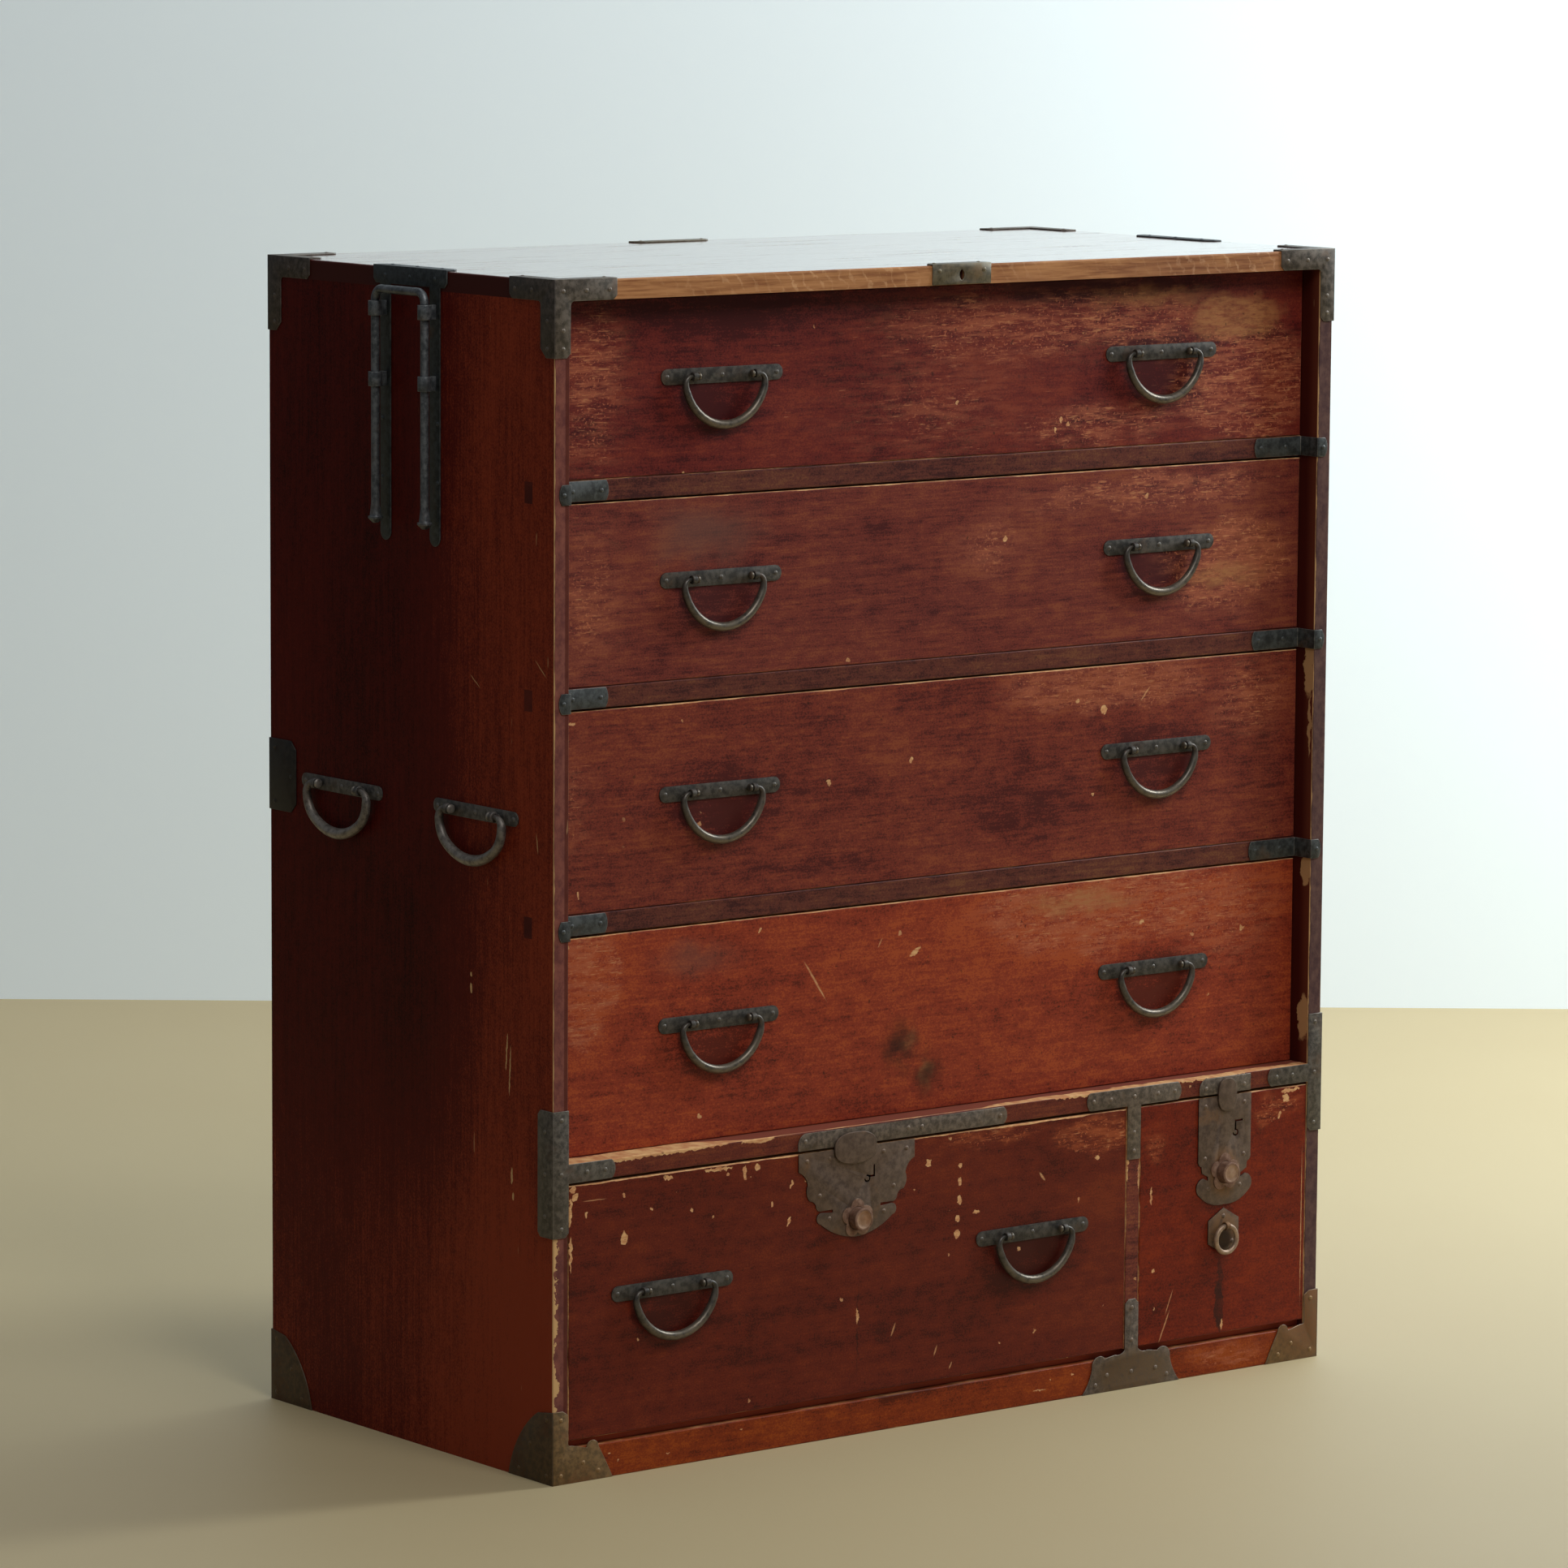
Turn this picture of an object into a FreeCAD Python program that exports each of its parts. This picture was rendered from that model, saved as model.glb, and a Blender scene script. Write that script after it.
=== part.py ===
import FreeCAD, Part
import math
import os

V = FreeCAD.Vector

# Isho clothing chest: four wide drawers behind a recessed front, two locked drawers below.
# Lengths are millimetres. X runs to the right, Y from the front to the back, Z up.
# The origin is the middle of the whole chest's footprint, on the floor.

# Boards of the carcass
chest_width = 905.0
chest_depth = 440.0
side_t = 16.0
top_t = 18.0
base_h = 31.0
base_board_t = 17.0
floor_t = 7.0
floor_setback = 8.0
rail_t = 19.0
main_rail_t = 17.0
rail_depth = 45.0
dust_board_t = 9.0
back_t = 10.0
back_rebate = 8.0
back_board_count = 4
partition_t = 16.0
tenon_t = 12.0
tenon_setback = 9.0
recess = 23.5
edge_round = 1.2
worn_round = 2.0

# Openings for the drawers, the upper ones from the lowest to the highest
small_bay_width = 210.0
lower_bay_height = 231.0
upper_bay_heights = [197.0, 181.0, 163.0, 158.0]

# Drawers
front_t = 20.0
front_lap = 10.0
box_side_t = 9.0
box_bottom_t = 7.0
box_side_drop = 3.0
side_gap = 0.8
top_gap = 1.8
lower_top_gap = 2.6
run_gap = 0.3
stop_gap = 0.5

# Sheet iron and its nails
iron_t = 1.2
nail_r = 2.2
nail_h = 0.9
iron_inset = 8.0
overrun = 2.0
fit_gap = 0.3
bow_share = 0.293

# Pulls on the drawers
pull_length = 135.0
pull_height = 14.0
pull_inset_left = 182.3
pull_inset_right = 175.8
large_pull_inset = 114.0
pull_height_share = 0.55
pull_nail_inset = 6.5
eye_half_spread = 34.5
eye_length = 5.0
eye_r = 4.0
eye_stem_r = 2.4
pull_stand = 4.8
bail_half_width = 44.0
bail_drop = 44.0
bail_pin_r = 1.8
bail_side_r = 2.7
bail_middle_r = 4.1
bail_corner_r = 6.5
bail_shoulder_r = 22.0
bail_pin_past = 2.0
bail_steps = 5

# Side handles
side_plate_length = 128.0
side_plate_height = 13.0
side_handle_inset = 116.0
side_handle_z = 586.0
side_bail_stand = 5.6
side_bail_half_width = 47.3
side_bail_drop = 42.5
side_bail_pin_r = 2.3
side_bail_side_r = 4.0
side_bail_middle_r = 5.2
side_bail_corner_r = 9.0
side_bail_shoulder_r = 27.0
side_eye_r = 4.8

# Carrying handles: a sliding bar in sleeves, with its iron
pole_from_back = 224.0
pole_half_spread = 38.0
pole_stand = 12.0
pole_bar_r = 3.8
pole_bend_r = 10.0
pole_bar_drop = 19.0
pole_bar_length = 203.0
pole_flare_r = 5.2
pole_flare_h = 12.0
pole_disc_r = 6.6
pole_disc_t = 2.0
pole_tip_r = 2.5
pole_tip_h = 4.0
pole_plate_half = 56.5
pole_plate_bar_h = 15.0
pole_tongue_w = 16.0
pole_tongue_drop = 240.0
sleeve_wall = 2.2
sleeve_h = 13.0
sleeve_top_drop = 30.0
sleeve_pitch = 63.0
sleeve_foot_w = 5.0

# Corner irons
corner_arm = 66.0
corner_drop = 67.0
corner_bar_h = 18.0
corner_side_w = 20.0
top_fold = 15.0
foot_arm = 65.0
foot_rise = 66.0
foot_bar_h = 34.0

# Straps
strap_h = 18.0
rail_strap_reach = 59.0
rail_strap_edge = 4.5
edge_strap_past = 48.0
edge_strap_side_w = 22.0
edge_strap_arm = 51.0
rear_strap_w = 42.0
rear_strap_h = 66.0
rear_strap_chamfer = 8.0

# Irons on the main rail and the partition
tee_half = 58.0
tee_stem = 51.0
bracket_half = 60.0
bracket_stem = 47.0
plain_iron_w = 109.0

# Top edge plates
top_plate_w = 68.0
top_plate_h = 17.6
rear_plate_w = 88.0
top_keyhole_w = 6.0
top_keyhole_h = 10.0

# Locks of the lower row
bolt_w = 40.0
bolt_t = 5.0
bolt_h = 36.0
bolt_throw = 8.0
bolt_inset = 4.0
bolt_top_gap = 1.0
rosette_t = 1.6
button_r = 10.4
button_travel = 4.0
button_seat = 9.0
button_dome = 1.2
cover_t = 2.0
cover_gap = 0.4
oval_points = 24
oval_share = 0.8
key_ring_r = 3.6
key_post_r = 2.0
key_slot_w = 1.9
key_bore_w = 12.0

large_plate_half = 67.0
large_plate_h = 82.4
large_button_drop = 65.4
large_button_reach = 9.4
large_cover_w = 48.5
large_cover_h = 29.0
large_cover_rise = 14.6
large_cover_shift = 3.0
large_key_out = 12.0
large_key_drop = 30.4
large_key_kick = 8.0
large_keeper_half = 67.5
large_lobe_r = 7.5
large_lobe_ring = 10.5

small_plate_half = 32.8
small_plate_h = 103.9
small_button_drop = 72.9
small_button_reach = 9.4
small_cover_w = 23.1
small_cover_h = 31.7
small_cover_rise = 17.1
small_cover_shift = -1.5
small_key_out = 13.5
small_key_drop = 36.4
small_key_kick = -8.0
small_keeper_half = 32.0
small_lobe_r = 7.5
small_lobe_ring = 10.5

# Ring pull of the small drawer
hex_r = 22.0
hex_below_top = 129.4
ring_pivot_up = 5.0
ring_mid_r = 12.7
ring_bar_r = 2.4
ring_stand = 4.4
ring_hole_r = 3.0
ring_eye_r = 4.2
ring_eye_w = 5.0

# Lock in the top board
top_bolt_w = 36.0
top_bolt_t = 6.0
top_bolt_h = 9.0
top_bolt_inset = 5.0
top_pocket_h = 12.0

# Outlines in shares of a width and a height, with a middle point before the end of an arc
foot_front_shares = [(1.0, 0.0), (0.84, 0.24, 0.68, 0.455), (0.584, 0.545, 0.416, 0.455),
                     (0.08, 0.515), (0.015, 0.525, 0.0, 0.56), (0.0, 0.94), (-0.12, 1.0)]
foot_side_shares = [(1.0, 0.0), (0.74, 0.58, 0.333, 0.95), (0.0, 1.0)]
bracket_shares = [(1.0, 0.0), (0.846, 0.353, 0.769, 0.706), (0.677, 1.0, 0.462, 0.941),
                  (0.231, 1.0), (0.06, 1.02, 0.0, 1.09)]
large_plate_shares = [(0.0, 0.0), (1.0, 0.0), (1.0, 0.20), (0.895, 0.26, 0.843, 0.357),
                      (0.86, 0.45, 0.806, 0.536), (0.74, 0.555, 0.70, 0.595),
                      (0.67, 0.65, 0.60, 0.662), (0.41, 0.66), (0.41, 0.697), (0.61, 0.684),
                      (0.685, 0.735, 0.62, 0.81), (0.33, 0.945, 0.0, 1.0)]
small_plate_shares = [(0.0, 0.0), (1.0, 0.0), (1.0, 0.565), (0.97, 0.61, 0.87, 0.63),
                      (0.85, 0.69), (0.62, 0.728), (0.62, 0.765), (0.80, 0.74),
                      (1.03, 0.79, 0.94, 0.90), (0.50, 0.985, 0.0, 1.0)]
large_nail_shares = [(0.86, 0.09), (0.46, 0.09), (0.64, 0.49), (0.47, 0.76)]
small_nail_shares = [(0.74, 0.08), (0.74, 0.56), (0.6, 0.84)]

# Derived heights
half_width = chest_width / 2
inner_half = half_width - side_t
lower_floor_z = base_h + floor_t
main_rail_z = lower_floor_z + lower_bay_height
bay_floors = [main_rail_z + main_rail_t]
for bay_height in upper_bay_heights:
    bay_floors.append(bay_floors[-1] + bay_height + rail_t)
chest_height = bay_floors[-1] - rail_t + top_t
side_top_z = chest_height - top_t
partition_left = inner_half - small_bay_width - partition_t
partition_right = inner_half - small_bay_width
back_face = chest_depth - back_t
drawer_end = back_face - stop_gap

# The front face stands so far forward that the footprint's middle is the origin
button_reach = iron_t + rosette_t + large_button_reach
pull_reach = iron_t + pull_stand + bail_middle_r
ring_reach = iron_t + ring_stand + ring_eye_r
front_reach = max(button_reach, pull_reach, ring_reach)
back_reach = iron_t + nail_h
front_y = (front_reach - back_reach - chest_depth) / 2


def at(x, depth, z):
    """The point at x, so far behind the front face, and z."""
    return V(x, front_y + depth, z)


def block(x0, x1, depth0, depth1, z0, z1):
    """A square-edged block between two values on each axis."""
    return Part.makeBox(x1 - x0, depth1 - depth0, z1 - z0, at(x0, depth0, z0))


def rod(start, end, radius):
    """A round rod between two points."""
    axis = end - start
    return Part.makeCylinder(radius, axis.Length, start, axis)


def eased(shape, radius, picked):
    """The shape with the edges whose middles are picked rounded."""
    edges = [edge for edge in shape.Edges if picked(edge.CenterOfMass)]
    return shape.makeFillet(radius, edges) if edges else shape


def rounded_front(shape, radius, depth):
    """The shape with the edges of its front face, at this depth, rounded."""
    y = front_y + depth
    return eased(shape, radius, lambda middle: abs(middle.y - y) < fit_gap)


def face_on(path, place):
    """A flat face. A step is a point, or a middle point and an end point for an arc."""
    edges = []
    here = path[0]
    for step in path[1:] + [path[0]]:
        end = step[-2:]
        if place(*end).distanceToPoint(place(*here)) > fit_gap / 100:
            if len(step) == 4:
                edges.append(Part.Arc(place(*here), place(*step[:2]), place(*end)).toShape())
            else:
                edges.append(Part.makeLine(place(*here), place(*end)))
        here = end
    return Part.Face(Part.Wire(edges))


def outline_of(shares, width, height, start):
    """An outline's points from its shares of a width and a height."""
    sizes = (width, height)
    return [tuple(share * sizes[i % 2] + (start if i % 2 == 0 else 0.0)
                  for i, share in enumerate(step)) for step in shares]


def shifted(path, across, up=0.0):
    """An outline moved across and up."""
    return [tuple(value + (up if i % 2 else across) for i, value in enumerate(step))
            for step in path]


def front_sheet(path, depth=0.0, thickness=iron_t):
    """A sheet on a face that looks forward, from points (x, z)."""
    face = face_on(path, lambda x, z: at(x, depth - thickness, z))
    return face.extrude(V(0, thickness, 0))


def side_sheet(path):
    """A sheet on the left side board, from points (depth, z)."""
    face = face_on(path, lambda depth, z: at(-half_width - iron_t, depth, z))
    return face.extrude(V(iron_t, 0, 0))


def top_sheet(path):
    """A sheet on the top board, from points (x, depth)."""
    face = face_on(path, lambda x, depth: at(x, depth, chest_height))
    return face.extrude(V(0, 0, iron_t))


def joined(shapes):
    """One solid from shapes that meet."""
    whole = shapes[0].fuse(shapes[1:]) if len(shapes) > 1 else shapes[0]
    return whole.removeSplitter()


def mirrored(shape):
    """The same shape on the other side of the chest."""
    return shape.mirror(V(0, 0, 0), V(1, 0, 0))


def end_for_end(shape):
    """The same shape at the other end of the chest's depth."""
    return shape.mirror(at(0, chest_depth / 2, 0), V(0, 1, 0))


def nail(point, outward):
    """A low domed nail head that sits on an iron at a point."""
    sphere_r = (nail_r ** 2 + nail_h ** 2) / (2 * nail_h)
    dome = Part.makeSphere(sphere_r, V(0, 0, nail_h - sphere_r))
    head = dome.common(Part.makeCylinder(nail_r, nail_h))
    head.Placement = FreeCAD.Placement(point, FreeCAD.Rotation(V(0, 0, 1), outward))
    return head


def front_nails(places, depth=0.0):
    """Nail heads on an iron that looks forward, at (x, z)."""
    return [nail(at(x, depth - iron_t, z), V(0, -1, 0)) for x, z in places]


def side_nails(places):
    """Nail heads on the left side's iron, at (depth, z)."""
    return [nail(at(-half_width - iron_t, depth, z), V(-1, 0, 0)) for depth, z in places]


def top_nails(places):
    """Nail heads on the top's iron, at (x, depth)."""
    return [nail(at(x, depth, chest_height + iron_t), V(0, 0, 1)) for x, depth in places]


def side_panel():
    """The left side board, with rail mortises and a rebate for the back boards."""
    board = block(-half_width, -inner_half, 0, chest_depth, 0, side_top_z)
    board = rounded_front(board, edge_round, 0)
    inner_rebate = block(-inner_half - back_rebate, -inner_half + overrun,
                         back_face, chest_depth + overrun, -overrun, side_top_z + overrun)
    board = board.cut(inner_rebate)
    for floor_z, thickness, setback in rail_levels():
        board = board.cut(rail_tenon(floor_z, thickness, setback, -1))
    return board


def rail_levels():
    """The top, thickness and front setback of each rail, the lowest first."""
    levels = [(bay_floors[0], main_rail_t, 0.0)]
    levels += [(floor_z, rail_t, recess) for floor_z in bay_floors[1:-1]]
    return levels


def rail_tenon(top_z, thickness, setback, side):
    """A through tenon at one end of a rail."""
    near, far = sorted((side * inner_half, side * half_width))
    start = setback + tenon_setback
    return block(near, far, start, start + tenon_t, top_z - thickness, top_z)


def rail(top_z, thickness, setback):
    """A rail with a through tenon at each end."""
    body = block(-inner_half, inner_half, setback, setback + rail_depth, top_z - thickness, top_z)
    body = rounded_front(body, edge_round, setback)
    return joined([body] + [rail_tenon(top_z, thickness, setback, side) for side in (-1, 1)])


def drawer_rails():
    """The three rails between the upper drawers."""
    return [rail(*level) for level in rail_levels()[1:]]


def main_rail():
    """The flush rail over the lower row, with a mortise over each lock bolt."""
    body = rail(*rail_levels()[0])
    for middle in (large_middle, small_middle):
        half = bolt_w / 2 + 2 * fit_gap
        body = body.cut(block(middle - half, middle + half, bolt_inset - fit_gap,
                              bolt_inset + bolt_t + 3 * fit_gap, main_rail_z - overrun,
                              main_rail_z + bolt_throw))
    return [body]


def dust_boards():
    """The boards behind the rails, level with their tops."""
    boards = []
    for top_z, thickness, setback in rail_levels():
        boards.append(block(-inner_half, inner_half, setback + rail_depth, back_face,
                            top_z - dust_board_t, top_z))
    return boards


def base_boards():
    """The front and rear boards under the floor."""
    front = block(-inner_half, inner_half, 0, base_board_t, 0, base_h)
    front = rounded_front(front, edge_round, 0)
    rear = block(-inner_half, inner_half, back_face - base_board_t, back_face, 0, base_h)
    return [front, rear]


def floor_panel():
    """The floor under the lower row."""
    board = block(-inner_half, inner_half, floor_setback, back_face, base_h, lower_floor_z)
    return [rounded_front(board, edge_round, floor_setback)]


def partition():
    """The upright between the lower drawers, notched under the main rail."""
    upright = block(partition_left, partition_right, 0, back_face, lower_floor_z, main_rail_z)
    upright = rounded_front(upright, edge_round, 0)
    tail = block(partition_left, partition_right, rail_depth, back_face,
                 main_rail_z, bay_floors[0] - dust_board_t)
    return [joined([upright, tail])]


def back_boards():
    """Upright boards side by side in the rebates."""
    width = 2 * (inner_half + back_rebate) / back_board_count
    start = -inner_half - back_rebate
    return [block(start + i * width, start + (i + 1) * width, back_face, chest_depth,
                  0, side_top_z) for i in range(back_board_count)]


def top_panel():
    """The top board, with the key bore and the pocket of its lock."""
    board = block(-half_width, half_width, 0, chest_depth, side_top_z, chest_height)
    top_z = chest_height - edge_round
    board = eased(board, worn_round, lambda middle: middle.z > top_z)
    half = top_bolt_w / 2 + fit_gap
    pocket = block(-half, half, top_bolt_inset - fit_gap, top_bolt_inset + top_bolt_t + fit_gap,
                   side_top_z - overrun, side_top_z + top_pocket_h)
    middle_z = top_keyhole_z()
    bore = block(-top_keyhole_w / 2, top_keyhole_w / 2, -overrun, top_bolt_inset,
                 middle_z - top_keyhole_h / 2, middle_z + top_keyhole_h / 2)
    return [board.cut(pocket).cut(bore)]


def top_keyhole_z():
    """The height of the top lock's keyhole."""
    return side_top_z + top_t / 2


def top_lock_bolt():
    """The bolt that drops from the top board into the recess."""
    low_z = side_top_z + fit_gap
    body = block(-top_bolt_w / 2, top_bolt_w / 2, top_bolt_inset, top_bolt_inset + top_bolt_t,
                 low_z, low_z + top_bolt_h)
    return [body]


def top_corner_iron():
    """The folded iron on the top left front corner."""
    left = -half_width - iron_t
    arm_x = -half_width + corner_arm
    bar_z = chest_height - corner_bar_h
    foot_z = chest_height - corner_drop
    top_z = chest_height + iron_t
    tip = iron_inset / 2
    front = front_sheet([(left, foot_z), (-inner_half - tip, foot_z),
                         (-inner_half, foot_z + tip), (-inner_half, bar_z - tip),
                         (-inner_half + bow_share * tip, bar_z - bow_share * tip,
                          -inner_half + tip, bar_z),
                         (arm_x - tip, bar_z), (arm_x, bar_z + tip), (arm_x, top_z),
                         (left, top_z)])
    side = side_sheet([(0, foot_z), (corner_side_w - iron_inset, foot_z),
                       (corner_side_w, foot_z + iron_inset), (corner_side_w, bar_z - tip),
                       (corner_side_w + bow_share * tip, bar_z - bow_share * tip,
                        corner_side_w + tip, bar_z),
                       (corner_arm - tip, bar_z), (corner_arm, bar_z + tip),
                       (corner_arm, top_z), (0, top_z)])
    top = top_sheet([(-half_width, 0), (arm_x, 0), (arm_x, top_fold - tip),
                     (arm_x - tip, top_fold), (-half_width + top_fold, top_fold),
                     (-half_width + top_fold, corner_arm - tip),
                     (-half_width + top_fold - tip, corner_arm), (-half_width, corner_arm)])
    return joined([front, side, top])


def top_corner_nails():
    """Nail heads on the top left front corner's iron."""
    bar_z = chest_height - corner_bar_h / 2
    stile_x = -half_width + side_t / 2
    low_z = chest_height - corner_drop + iron_inset
    heads = front_nails([(-half_width + corner_arm - iron_inset, bar_z), (stile_x, bar_z),
                         (-half_width + corner_arm / 2, bar_z), (stile_x, low_z),
                         (stile_x, low_z + 2 * iron_inset)])
    heads += side_nails([(corner_arm - iron_inset, bar_z), (corner_arm / 2, bar_z),
                         (corner_side_w / 2, low_z), (corner_side_w / 2, low_z + 3 * iron_inset)])
    heads += top_nails([(-half_width + corner_arm - iron_inset, top_fold / 2),
                        (-half_width + top_fold / 2, corner_arm - iron_inset)])
    return heads


def four_corners(shapes):
    """Copies of the left front corner's shapes on all four corners."""
    ends = shapes + [end_for_end(shape) for shape in shapes]
    return ends + [mirrored(shape) for shape in ends]


def top_corner_irons():
    """The four irons on the top's corners, with their nails."""
    return four_corners([top_corner_iron()] + top_corner_nails())


def bottom_corner_iron():
    """The folded iron on the left front foot, with its cusped upper edge."""
    left = -half_width - iron_t
    edge = outline_of(foot_front_shares, foot_arm - side_t, foot_rise, 0.0)
    front = front_sheet([(left, 0)] + shifted(edge, -inner_half) + [(left, foot_rise)])
    side = side_sheet([(0, 0)] + outline_of(foot_side_shares, foot_arm, foot_rise, 0.0))
    return joined([front, side])


def bottom_corner_irons():
    """The four irons on the feet, with their nails."""
    x0 = -half_width
    heads = front_nails([(x0 + foot_arm - 2 * iron_inset, iron_inset),
                         (x0 + side_t / 2, foot_rise - iron_inset),
                         (x0 + side_t / 2, iron_inset), (x0 + foot_arm / 2, foot_bar_h / 2)])
    heads += side_nails([(foot_arm - 2 * iron_inset, iron_inset), (iron_inset, iron_inset),
                         (iron_inset, foot_rise - iron_inset), (foot_arm / 2, foot_rise / 2)])
    return four_corners([bottom_corner_iron()] + heads)


def front_edge_strap():
    """The strap round the left front edge, with its arm along the main rail."""
    left = -half_width - iron_t
    tip = iron_inset / 2
    rail_top = bay_floors[0]
    low_z = main_rail_z - edge_strap_past
    high_z = rail_top + edge_strap_past
    arm_x = -inner_half + edge_strap_arm
    front = front_sheet([(left, low_z), (-inner_half - tip, low_z),
                         (-inner_half, low_z + tip), (-inner_half, main_rail_z),
                         (arm_x - tip, main_rail_z),
                         (arm_x, (main_rail_z + rail_top) / 2, arm_x - tip, rail_top),
                         (-inner_half, rail_top), (-inner_half, high_z),
                         (left, high_z)])
    side = side_sheet([(0, low_z), (edge_strap_side_w - tip, low_z),
                       (edge_strap_side_w, low_z + tip),
                       (edge_strap_side_w, high_z - tip),
                       (edge_strap_side_w - tip, high_z), (0, high_z)])
    middle_z = (main_rail_z + rail_top) / 2
    stile_x = -half_width + side_t / 2
    heads = front_nails([(-inner_half + 2.5 * iron_inset, middle_z),
                         (-inner_half + 5 * iron_inset, middle_z), (stile_x, middle_z),
                         (stile_x, low_z + iron_inset),
                         (stile_x, high_z - iron_inset)])
    third = (high_z - low_z) / 3
    heads += side_nails([(edge_strap_side_w / 2, low_z + (i + 0.5) * third)
                         for i in range(3)])
    return [joined([front, side])] + heads


def rear_edge_strap():
    """The strap round the left rear edge."""
    near = chest_depth - rear_strap_w
    low_z = side_handle_z - rear_strap_h / 2
    high_z = low_z + rear_strap_h
    side = side_sheet([(near + rear_strap_chamfer, low_z),
                       (chest_depth + iron_t, low_z),
                       (chest_depth + iron_t, high_z),
                       (near + rear_strap_chamfer, high_z),
                       (near, high_z - rear_strap_chamfer),
                       (near, low_z + rear_strap_chamfer)])
    far_x = -half_width + rear_strap_w
    back = front_sheet([(-half_width, low_z),
                        (far_x - rear_strap_chamfer, low_z),
                        (far_x, low_z + rear_strap_chamfer),
                        (far_x, high_z - rear_strap_chamfer),
                        (far_x - rear_strap_chamfer, high_z),
                        (-half_width, high_z)], chest_depth + iron_t)
    heads = side_nails([(near + iron_inset, (low_z + high_z) / 2),
                        (chest_depth - iron_inset, low_z + iron_inset),
                        (chest_depth - iron_inset, high_z - iron_inset)])
    return [joined([side, back])] + heads


def edge_straps():
    """The straps on the front and rear edges of both sides."""
    straps = front_edge_strap() + rear_edge_strap()
    return straps + [mirrored(strap) for strap in straps]


def rail_strap(top_z):
    """The strap from the left stile, along the recess, to the face of a rail."""
    low_z = top_z - (rail_t + strap_h) / 2
    high_z = low_z + strap_h
    tip = strap_h / 6
    edge_x = -half_width + rail_strap_edge
    reach_x = -inner_half + rail_strap_reach
    stile = front_sheet([(edge_x + tip, low_z), (-inner_half + iron_t, low_z),
                         (-inner_half + iron_t, high_z), (edge_x + tip, high_z),
                         (edge_x, top_z - rail_t / 2, edge_x + tip, low_z)])
    return_wall = block(-inner_half, -inner_half + iron_t, 0, recess, low_z, high_z)
    along = front_sheet([(-inner_half, low_z), (reach_x - tip, low_z),
                         (reach_x, top_z - rail_t / 2, reach_x - tip, high_z),
                         (-inner_half, high_z)], recess)
    middle_z = (low_z + high_z) / 2
    heads = front_nails([(-half_width + side_t * 0.6, middle_z)])
    heads += front_nails([(-inner_half + 2.5 * iron_inset, middle_z),
                          (reach_x - iron_inset, middle_z)], recess)
    return [joined([stile, return_wall, along])] + heads


def rail_straps():
    """The six straps on the ends of the recessed rails."""
    straps = []
    for top_z, thickness, setback in rail_levels()[1:]:
        straps += rail_strap(top_z)
    return straps + [mirrored(strap) for strap in straps]


def partition_tee():
    """The T strap on the main rail over the partition."""
    middle = (partition_left + partition_right) / 2
    half = partition_t / 2
    tip = iron_inset / 2
    low_z = main_rail_z
    high_z = bay_floors[0]
    mid_z = (low_z + high_z) / 2
    stem_z = main_rail_z - tee_stem
    sheet = front_sheet([(middle - half, stem_z), (middle + half, stem_z), (middle + half, low_z),
                         (middle + tee_half - tip, low_z),
                         (middle + tee_half, mid_z, middle + tee_half - tip, high_z),
                         (middle - tee_half + tip, high_z),
                         (middle - tee_half, mid_z, middle - tee_half + tip, low_z),
                         (middle - half, low_z)])
    heads = front_nails([(middle, mid_z), (middle, stem_z + iron_inset),
                         (middle, (stem_z + low_z) / 2),
                         (middle - tee_half + iron_inset, mid_z), (middle - tee_half / 2, mid_z),
                         (middle + tee_half / 2, mid_z), (middle + tee_half - iron_inset, mid_z)])
    return [sheet] + heads


def foot_bracket():
    """The cusped bracket on the base board, with a stem up the partition."""
    middle = (partition_left + partition_right) / 2
    half = partition_t / 2
    tip = iron_inset / 2
    stem_z = lower_floor_z + bracket_stem
    slope = outline_of(bracket_shares, bracket_half - half, foot_bar_h, half)
    path = [(0.0, 0.0)] + slope + [(half, stem_z - tip), (half - tip, stem_z), (0.0, stem_z)]
    right = front_sheet(shifted(path, middle))
    left = right.mirror(at(middle, 0, 0), V(1, 0, 0))
    heads = front_nails([(middle, 2 * iron_inset), (middle, stem_z - iron_inset),
                         (middle, lower_floor_z + iron_inset)])
    for side in (-1, 1):
        heads += front_nails([(middle + side * (bracket_half - 2 * iron_inset), iron_inset),
                              (middle + side * bracket_half / 2, 2 * iron_inset)])
    return [joined([left, right])] + heads


def keeper_plate(middle, half):
    """The iron on the main rail over a lock."""
    low_z = main_rail_z
    high_z = bay_floors[0] - iron_t
    tip = iron_inset / 2
    sheet = front_sheet([(middle - half, low_z), (middle + half, low_z), (middle + half, high_z),
                         (middle - half + 2 * tip, high_z),
                         (middle - half + tip / 2, high_z - tip, middle - half, high_z - 3 * tip)])
    return sheet


def plain_iron():
    """The plain iron on the main rail beside the large lock's keeper plate."""
    start = large_middle + large_keeper_half
    end = start + plain_iron_w
    low_z = main_rail_z
    high_z = bay_floors[0] - iron_t
    tip = iron_inset / 2
    sheet = front_sheet([(start, low_z), (end - tip, low_z),
                         (end, (low_z + high_z) / 2, end - tip, high_z), (start, high_z)])
    mid_z = (low_z + high_z) / 2
    return [sheet] + front_nails([(start + iron_inset, mid_z), (end - iron_inset, mid_z)])


def main_rail_irons():
    """The T strap, bracket, keeper plates and plain iron on the front."""
    mid_z = (main_rail_z + bay_floors[0]) / 2
    irons = partition_tee() + foot_bracket() + plain_iron()
    irons.append(keeper_plate(large_middle, large_keeper_half))
    irons.append(keeper_plate(small_middle, small_keeper_half))
    irons += front_nails([(large_middle - large_keeper_half + iron_inset, mid_z),
                          (large_middle + large_keeper_half - iron_inset, mid_z),
                          (small_middle - small_keeper_half + iron_inset, mid_z - nail_r),
                          (small_middle + small_keeper_half - iron_inset, mid_z - nail_r)])
    return irons


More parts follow.
